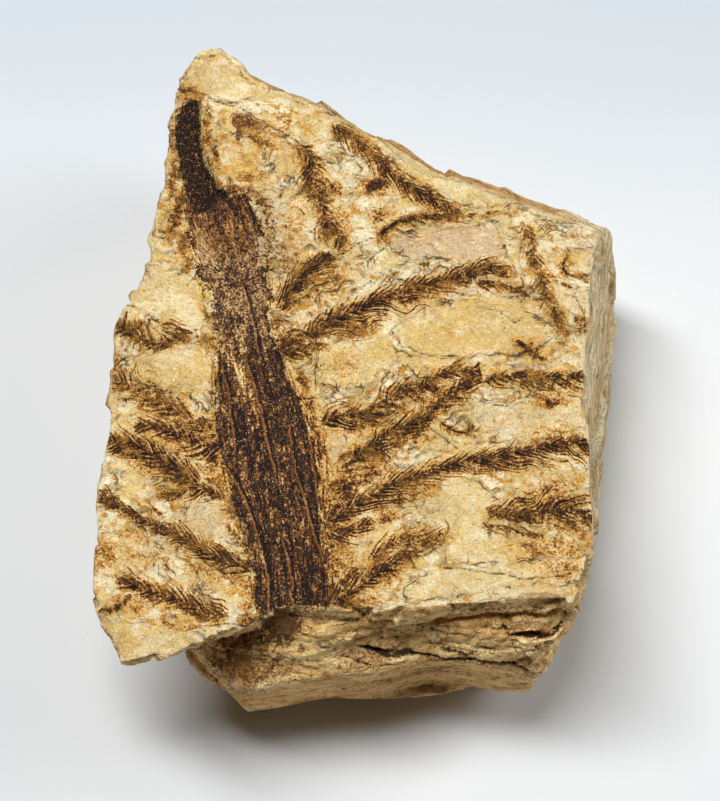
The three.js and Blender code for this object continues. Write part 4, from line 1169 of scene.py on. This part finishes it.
def stemOver(here, rock):
    # the stem: streaks along it, black film over brown, gold and bare sand
    here.fibreWide = grainNoise(here.lengthwise, 2.2, 3.0, 0.65, 0.4)
    here.fibreFine = grainNoise(stretched(here.lengthwise, (1, 1.6, 1), (5, 5, 0)), 0.8, 3.0, 0.7, 0.3)
    wornTop = fade(abs(here.along - 12.0), 26.0, 6.0)
    streaky = fade(wornTop, 0.0, 1.0, 1.0, 0.45)
    flange = fade(here.across, -0.45, -0.7)
    ribLight = fade(abs(here.ribGap + 0.1), 0.1, 0.5, 1.0, 0.0) * fade(here.fibreFine, 0.4, 0.52)
    # a painted shadow line on one side of each rib
    ribShadow = fade(abs(here.ribGap - 0.65), 0.1, 0.5, 1.0, 0.0)
    bare = largest(here.stain * -1.0, 0.0)
    stemField = 0.76 + streaky * (swing(here.fibreWide, 1.6) + swing(here.fibreFine, 2.0))
    stemField = stemField + swing(here.speck, fade(wornTop, 0.0, 1.0, 2.4, 2.8))
    stemField = stemField + swing(here.fine, 1.5) + swing(here.blotch, 1.0)
    stemField = stemField + wornTop * -0.12 + flange * -0.06 + ribLight * -0.25
    stemField = stemField + ribShadow * 0.4 + bare * -0.6
    stemColor = blend(fade(stemField, 0.04, 0.14), tones["cream"], tones["gold"])
    topCorner = fade(here.along, 4.0, 30.0) * fade(here.across, -0.1, 0.8)
    stemEdge = here.stemGap + swing(here.fibreWide, 4.0) + swing(here.fine, 3.0) + topCorner * -1.6
    stemEdge = stemEdge + (swing(here.speck, 9.0) + swing(here.middle, 12.0)) * wornTop
    stemEdge = stemEdge + fade(here.across, 0.3, 0.9) * wornTop * (-0.6 + swing(here.fine, 14.0))
    here.stemShare = fade(stemEdge, -0.3, 0.3)
    stemColor = painted(
        stemColor,
        (fade(stemField, 0.17, 0.3), "rust"),
        (fade(stemField, 0.36, 0.46), "umber"),
        (fade(stemField, 0.5, 0.64), "bark"),
        (fade(stemField, 0.74, 0.94), "coal"),
        (wornTop * fade(stemField, 0.48, 0.3) * 0.35, "greyStone"),
        (ribLight * 0.6, "copper"),
        (fade(here.along, 17.0, 27.0) * fade(stemField, 0.8, 0.5) * 0.45, "rust"),
        # pale specks on the stem's dark film: painted glints
        (specks(shifted(here.point, 13, 5, 8), 0.42, 0.13), "chalk"),
    )
    color = blend(here.stemShare, rock, stemColor)
    return blend(here.seamLine * here.stemShare * 0.9, color, tones["coal"])


def stripOver(here, color):
    # the deep strip is nearly black
    stripEdge = here.stripGap + swing(here.fine, 2.0) + swing(here.speck, 1.2)
    stripField = 0.75 + swing(here.speck, 2.4) + swing(here.fibreFine, 1.6) + swing(here.blotch, 1.0)
    stripColor = blend(fade(stripField, 0.16, 0.3), tones["gold"], tones["umber"])
    stripColor = painted(
        stripColor,
        (fade(stripField, 0.34, 0.46), "bark"),
        (fade(stripField, 0.56, 0.7), "coal"),
        (specks(here.point, 0.5, 0.16), "sand"),
    )
    return blend(fade(stripEdge, -0.4, 0.3), color, stripColor)


def brokenSides(here):
    # broken sides with the beds showing
    here.sideChance, sideEdge = chips(stretched(here.point, (0.7, 0.7, 1.4), (2, 5, 9)), 3.6, 1.6)
    bedNoise = grainNoise(stretched(here.point, (0.06, 0.06, 1.0)), 2.0, 4.0, 0.6, 0.2)
    side = blend(fade(here.broad, 0.4, 0.6), tones["sideTan"], tones["sideOlive"])
    bedLot = chanceOf(floor(here.bedPhase) * 12.9, 43.7)
    here.thinBeds = grainNoise(stretched(here.point, (0.12, 0.12, 1.5), (4, 1, 6)), 0.8, 3.0, 0.65)
    here.onFront = abs(here.zone)
    here.pits = grainNoise(stretched(here.point, (1.0, 1.0, 1.5), (2, 9, 4)), 0.7, 3.0, 0.7)
    # dirt and grain, plus painted shade from the front's smudges and below the stem's end
    grimeAndShade = swing(here.speck, 1.6) + swing(here.fine, 1.4) + swing(here.blotch, 1.0)
    grimeAndShade = grimeAndShade + here.onFront * swing(here.pits, 1.8)
    grimeAndShade = grimeAndShade + here.smudge * 0.34 + fade(here.stemGap + swing(here.blotch, 9.0), -3.0, 1.0) * 0.35
    jointTurn = abs(fract(here.bedPhase + 0.5) - 0.5)
    here.jointLine = (fade(jointTurn * 3.0 + swing(here.fine, 0.7), 0.1, 0.32, 1.0, 0.0)
                      * fade(here.parted, 0.1, 0.5))
    jointColor = blend(fade(here.middle, 0.45, 0.58), tones["vein"], tones["darkBrown"])
    side = painted(
        side,
        (fade(bedNoise, 0.52, 0.68, 0.0, 0.5), "sideBrown"),
        (fade(bedNoise, 0.44, 0.3, 0.0, 0.3), "cream"),
        (fade(bedLot, 0.55, 0.85) * fade(here.foot, 1.0, 0.0) * 0.4, "sideBrown"),
        (fade(bedLot, 0.4, 0.1) * fade(here.foot, 1.0, 0.0) * 0.35, "cream"),
        (fade(here.blotch, 0.48, 0.64, 0.0, 0.7), "sideBrown"),
        (fade(here.sideChance, 0.7, 0.8, 0.0, 0.35), "cream"),
        (fade(here.sideChance, 0.3, 0.2, 0.0, 0.4), "sideBrown"),
        (fade(here.smudge, -0.3, -1.2, 0.0, 0.55), "ochre"),
        (fade(here.thinBeds, 0.46, 0.62) * fade(here.foot, 0.0, 1.0, 0.3, 0.65), "sideBrown"),
        (fade(here.thinBeds, 0.57, 0.66) * fade(here.foot, 0.0, 1.0, 0.25, 0.45), "vein"),
        (fade(grimeAndShade, 0.12, 0.4) * fade(here.onFront, 0.0, 1.0, 0.3, 0.55), "rust"),
        (fade(grimeAndShade, 0.3, 0.52, 0.0, 0.8), "darkBrown"),
        (fade(grimeAndShade, -0.15, -0.45) * here.onFront * 0.5, "cream"),
        (fade(here.crackGap + swing(here.fine, 1.2), 0.2, 0.55, 0.95, 0.0), "coal"),
        (fade(sideEdge, 0.0, 0.25, 1.0, 0.0) * here.gateFine * here.wallRough * 0.8, "darkBrown"),
    )
    side = blend(here.jointLine * fade(here.fine, 0.4, 0.55, 0.4, 0.85), side, jointColor)
    eastWall = fade(axesOf(here.point)[0], 50.0, 60.0) * (1.0 - here.onFront)
    return painted(
        side,
        # paler convex edges on the front: rubbed wear and painted highlight
        (fade(here.bendFine, 0.08, 0.35, 0.0, 0.4) * here.onFront, "cream"),
        # rust-brown over the smudges, partly painted shade
        (fade(here.smudge, 0.5, 1.5, 0.0, 0.35), "rust"),
        (eastWall * fade(bedNoise, 0.53, 0.45, 0.2, 0.75), "paleCream"),
        (eastWall * fade(here.thinBeds, 0.54, 0.62, 0.0, 0.5), "vein"),
    )


def wornAndShadedSurface(here, side, color):
    # convex edges paler, as rubbed wear and painted highlight; creases darker, as painted shade and dirt; the
    # front wall brightened, as painted light
    color = blend(fade(here.face, 0.35, 0.75), side, color)
    # rubbed wear and painted highlight along convex edges
    rubbedAndHighlit = fade(here.bendWide, 0.02, 0.14, 0.0, 0.5) * fade(here.film, 0.5, 0.15, 0.1, 1.0)
    rubbedAndHighlit = rubbedAndHighlit * fade(here.fine, 0.4, 0.55, 0.4, 1.0) * fade(here.stemShare, 0.0, 1.0, 1.0, 0.1)
    grainAndFrontLight = 1.02 + swing(here.fine, 0.9) + swing(here.dust, 0.9)
    # the front wall is made brighter than its own colour: painted light
    grainAndFrontLight = grainAndFrontLight + here.onFront * fade(here.face, 0.75, 0.35) * (0.67 + swing(here.pits, 2.8))
    color = painted(
        color,
        (rubbedAndHighlit, "paleCream"),
        # painted shade and dirt in the creases
        (fade(here.bendFine, -0.05, -0.28, 0.0, 0.65), "darkBrown"),
    )
    return blend(1.0, color, joined(grainAndFrontLight, grainAndFrontLight, grainAndFrontLight), "MULTIPLY")


def reliefOf(here):
    # in millimetres
    onRock = 1.0 - here.stemShare
    coarser = fade(here.face, 0.3, 0.7, 2.2, 0.8)
    relief = here.fine * coarser + here.speck * coarser * 0.5 + here.blotch * 0.5
    relief = relief + here.chance * onRock * here.rough * here.face * 0.16
    relief = relief + here.smallChance * onRock * here.rough * here.face * 0.12
    relief = relief + here.sideChance * here.wallRough * 0.5 + here.pits * here.onFront * 0.8
    relief = relief + here.fibreFine * here.stemShare * 0.5 + here.jointLine * -0.3
    relief = relief + here.thinBeds * (1.0 - here.face) * 0.7 + here.fibreWide * here.stemShare * 0.8
    return relief + here.needle * here.outer * 0.12 + here.lines * -0.25


siltstone = {
    "roughness": 0.86,
    "specular": 0.2,
    "reliefStrength": 0.8,
    "reliefUnit": 0.001,  # the relief is reckoned in millimetres
}


def siltstoneFinish():
    material = bpy.data.materials.new("siltstone")
    material.use_nodes = True
    tree = material.node_tree
    shader = tree.nodes["Principled BSDF"]
    here = readStone(tree)
    rock = bareRock(here)
    layFilm(here)
    rock = cracksOver(here, filmOver(here, rock))
    color = stripOver(here, stemOver(here, rock))
    plug(wornAndShadedSurface(here, brokenSides(here), color), shader.inputs["Base Color"])
    shader.inputs["Roughness"].default_value = siltstone["roughness"]
    shader.inputs["Specular IOR Level"].default_value = siltstone["specular"]
    values = {"Height": reliefOf(here), "Strength": siltstone["reliefStrength"]}
    values["Distance"] = siltstone["reliefUnit"]
    plug(Signal(newNode("ShaderNodeBump", values).outputs[0]), shader.inputs["Normal"])
    return material


paper = {
    "halfWidth": 1.6,
    "roughness": 0.9,
}


def buildFloor():
    sheet = bmesh.new()
    bmesh.ops.create_grid(sheet, x_segments=1, y_segments=1, size=paper["halfWidth"])
    mesh = bpy.data.meshes.new("paperFloor")
    sheet.to_mesh(mesh)
    sheet.free()
    sheetObject = bpy.data.objects.new("paperFloor", mesh)
    bpy.context.scene.collection.objects.link(sheetObject)
    material = bpy.data.materials.new("palePaper")
    material.use_nodes = True
    tree = material.node_tree
    shader = tree.nodes["Principled BSDF"]
    point = pointIn(tree)
    soft = grainNoise(point, 60.0, 2.0)
    mottledAndShaded = blend(soft, shade(221, 225, 228), shade(230, 231, 231))
    # darker and bluer towards the back: painted shade for the light falling off
    mottledAndShaded = blend(fade(axesOf(point)[1], 20.0, 150.0), mottledAndShaded, shade(201, 209, 216))
    mottledAndShaded = blend(specks(point, 1.6, 0.05) * 0.25, mottledAndShaded, shade(190, 186, 180))
    plug(mottledAndShaded, shader.inputs["Base Color"])
    shader.inputs["Roughness"].default_value = paper["roughness"]
    mesh.materials.append(material)


lighting = {
    "softboxes": [
        # place, size front to back and across, power
        ((-0.32, 0.165, 1.28), (0.24, 0.85), 17.8),
        ((1.3, 0.45, 0.87), (0.9, 0.9), 13.2),
    ],
    "skyColor": (0.95, 0.975, 1.0, 1.0),
    "skyStrength": 0.025,
}


def buildLights():
    for number, (place, size, power) in enumerate(lighting["softboxes"]):
        light = bpy.data.lights.new(f"softbox{number}", "AREA")
        light.shape = "RECTANGLE"
        light.size, light.size_y = size
        light.energy = power
        lamp = bpy.data.objects.new(light.name, light)
        lamp.location = place
        lamp.rotation_euler = (Vector((0, 0, 0.04)) - lamp.location).to_track_quat("-Z", "Y").to_euler()
        bpy.context.scene.collection.objects.link(lamp)
    world = bpy.data.worlds.new("paleStudio")
    world.use_nodes = True
    background = world.node_tree.nodes["Background"]
    background.inputs["Color"].default_value = lighting["skyColor"]
    background.inputs["Strength"].default_value = lighting["skyStrength"]
    bpy.context.scene.world = world
    bpy.context.scene.view_settings.view_transform = "Standard"


viewing = {
    "elevation": 66.0,
    "distance": 0.65,
    "lens": 110.0,
    "aim": (-0.00153, -0.02207, 0.062),
}


def buildCamera():
    lens = bpy.data.cameras.new("viewCamera")
    lens.lens = viewing["lens"]
    lens.sensor_width = 36.0
    lens.sensor_fit = "AUTO"
    camera = bpy.data.objects.new("viewCamera", lens)
    tilt = math.radians(viewing["elevation"])
    back = Vector((0, -math.cos(tilt), math.sin(tilt)))
    camera.location = Vector(viewing["aim"]) + viewing["distance"] * back
    camera.rotation_euler = (math.pi / 2 - tilt, 0, 0)
    bpy.context.scene.collection.objects.link(camera)
    bpy.context.scene.camera = camera


buildCamera()
stone = buildSlab()
stone.data.materials.clear()
stone.data.materials.append(siltstoneFinish())
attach(stone, "root")
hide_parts("fossil_slab")
print("slab finished")
buildFloor()
buildLights()
print("setting ready")
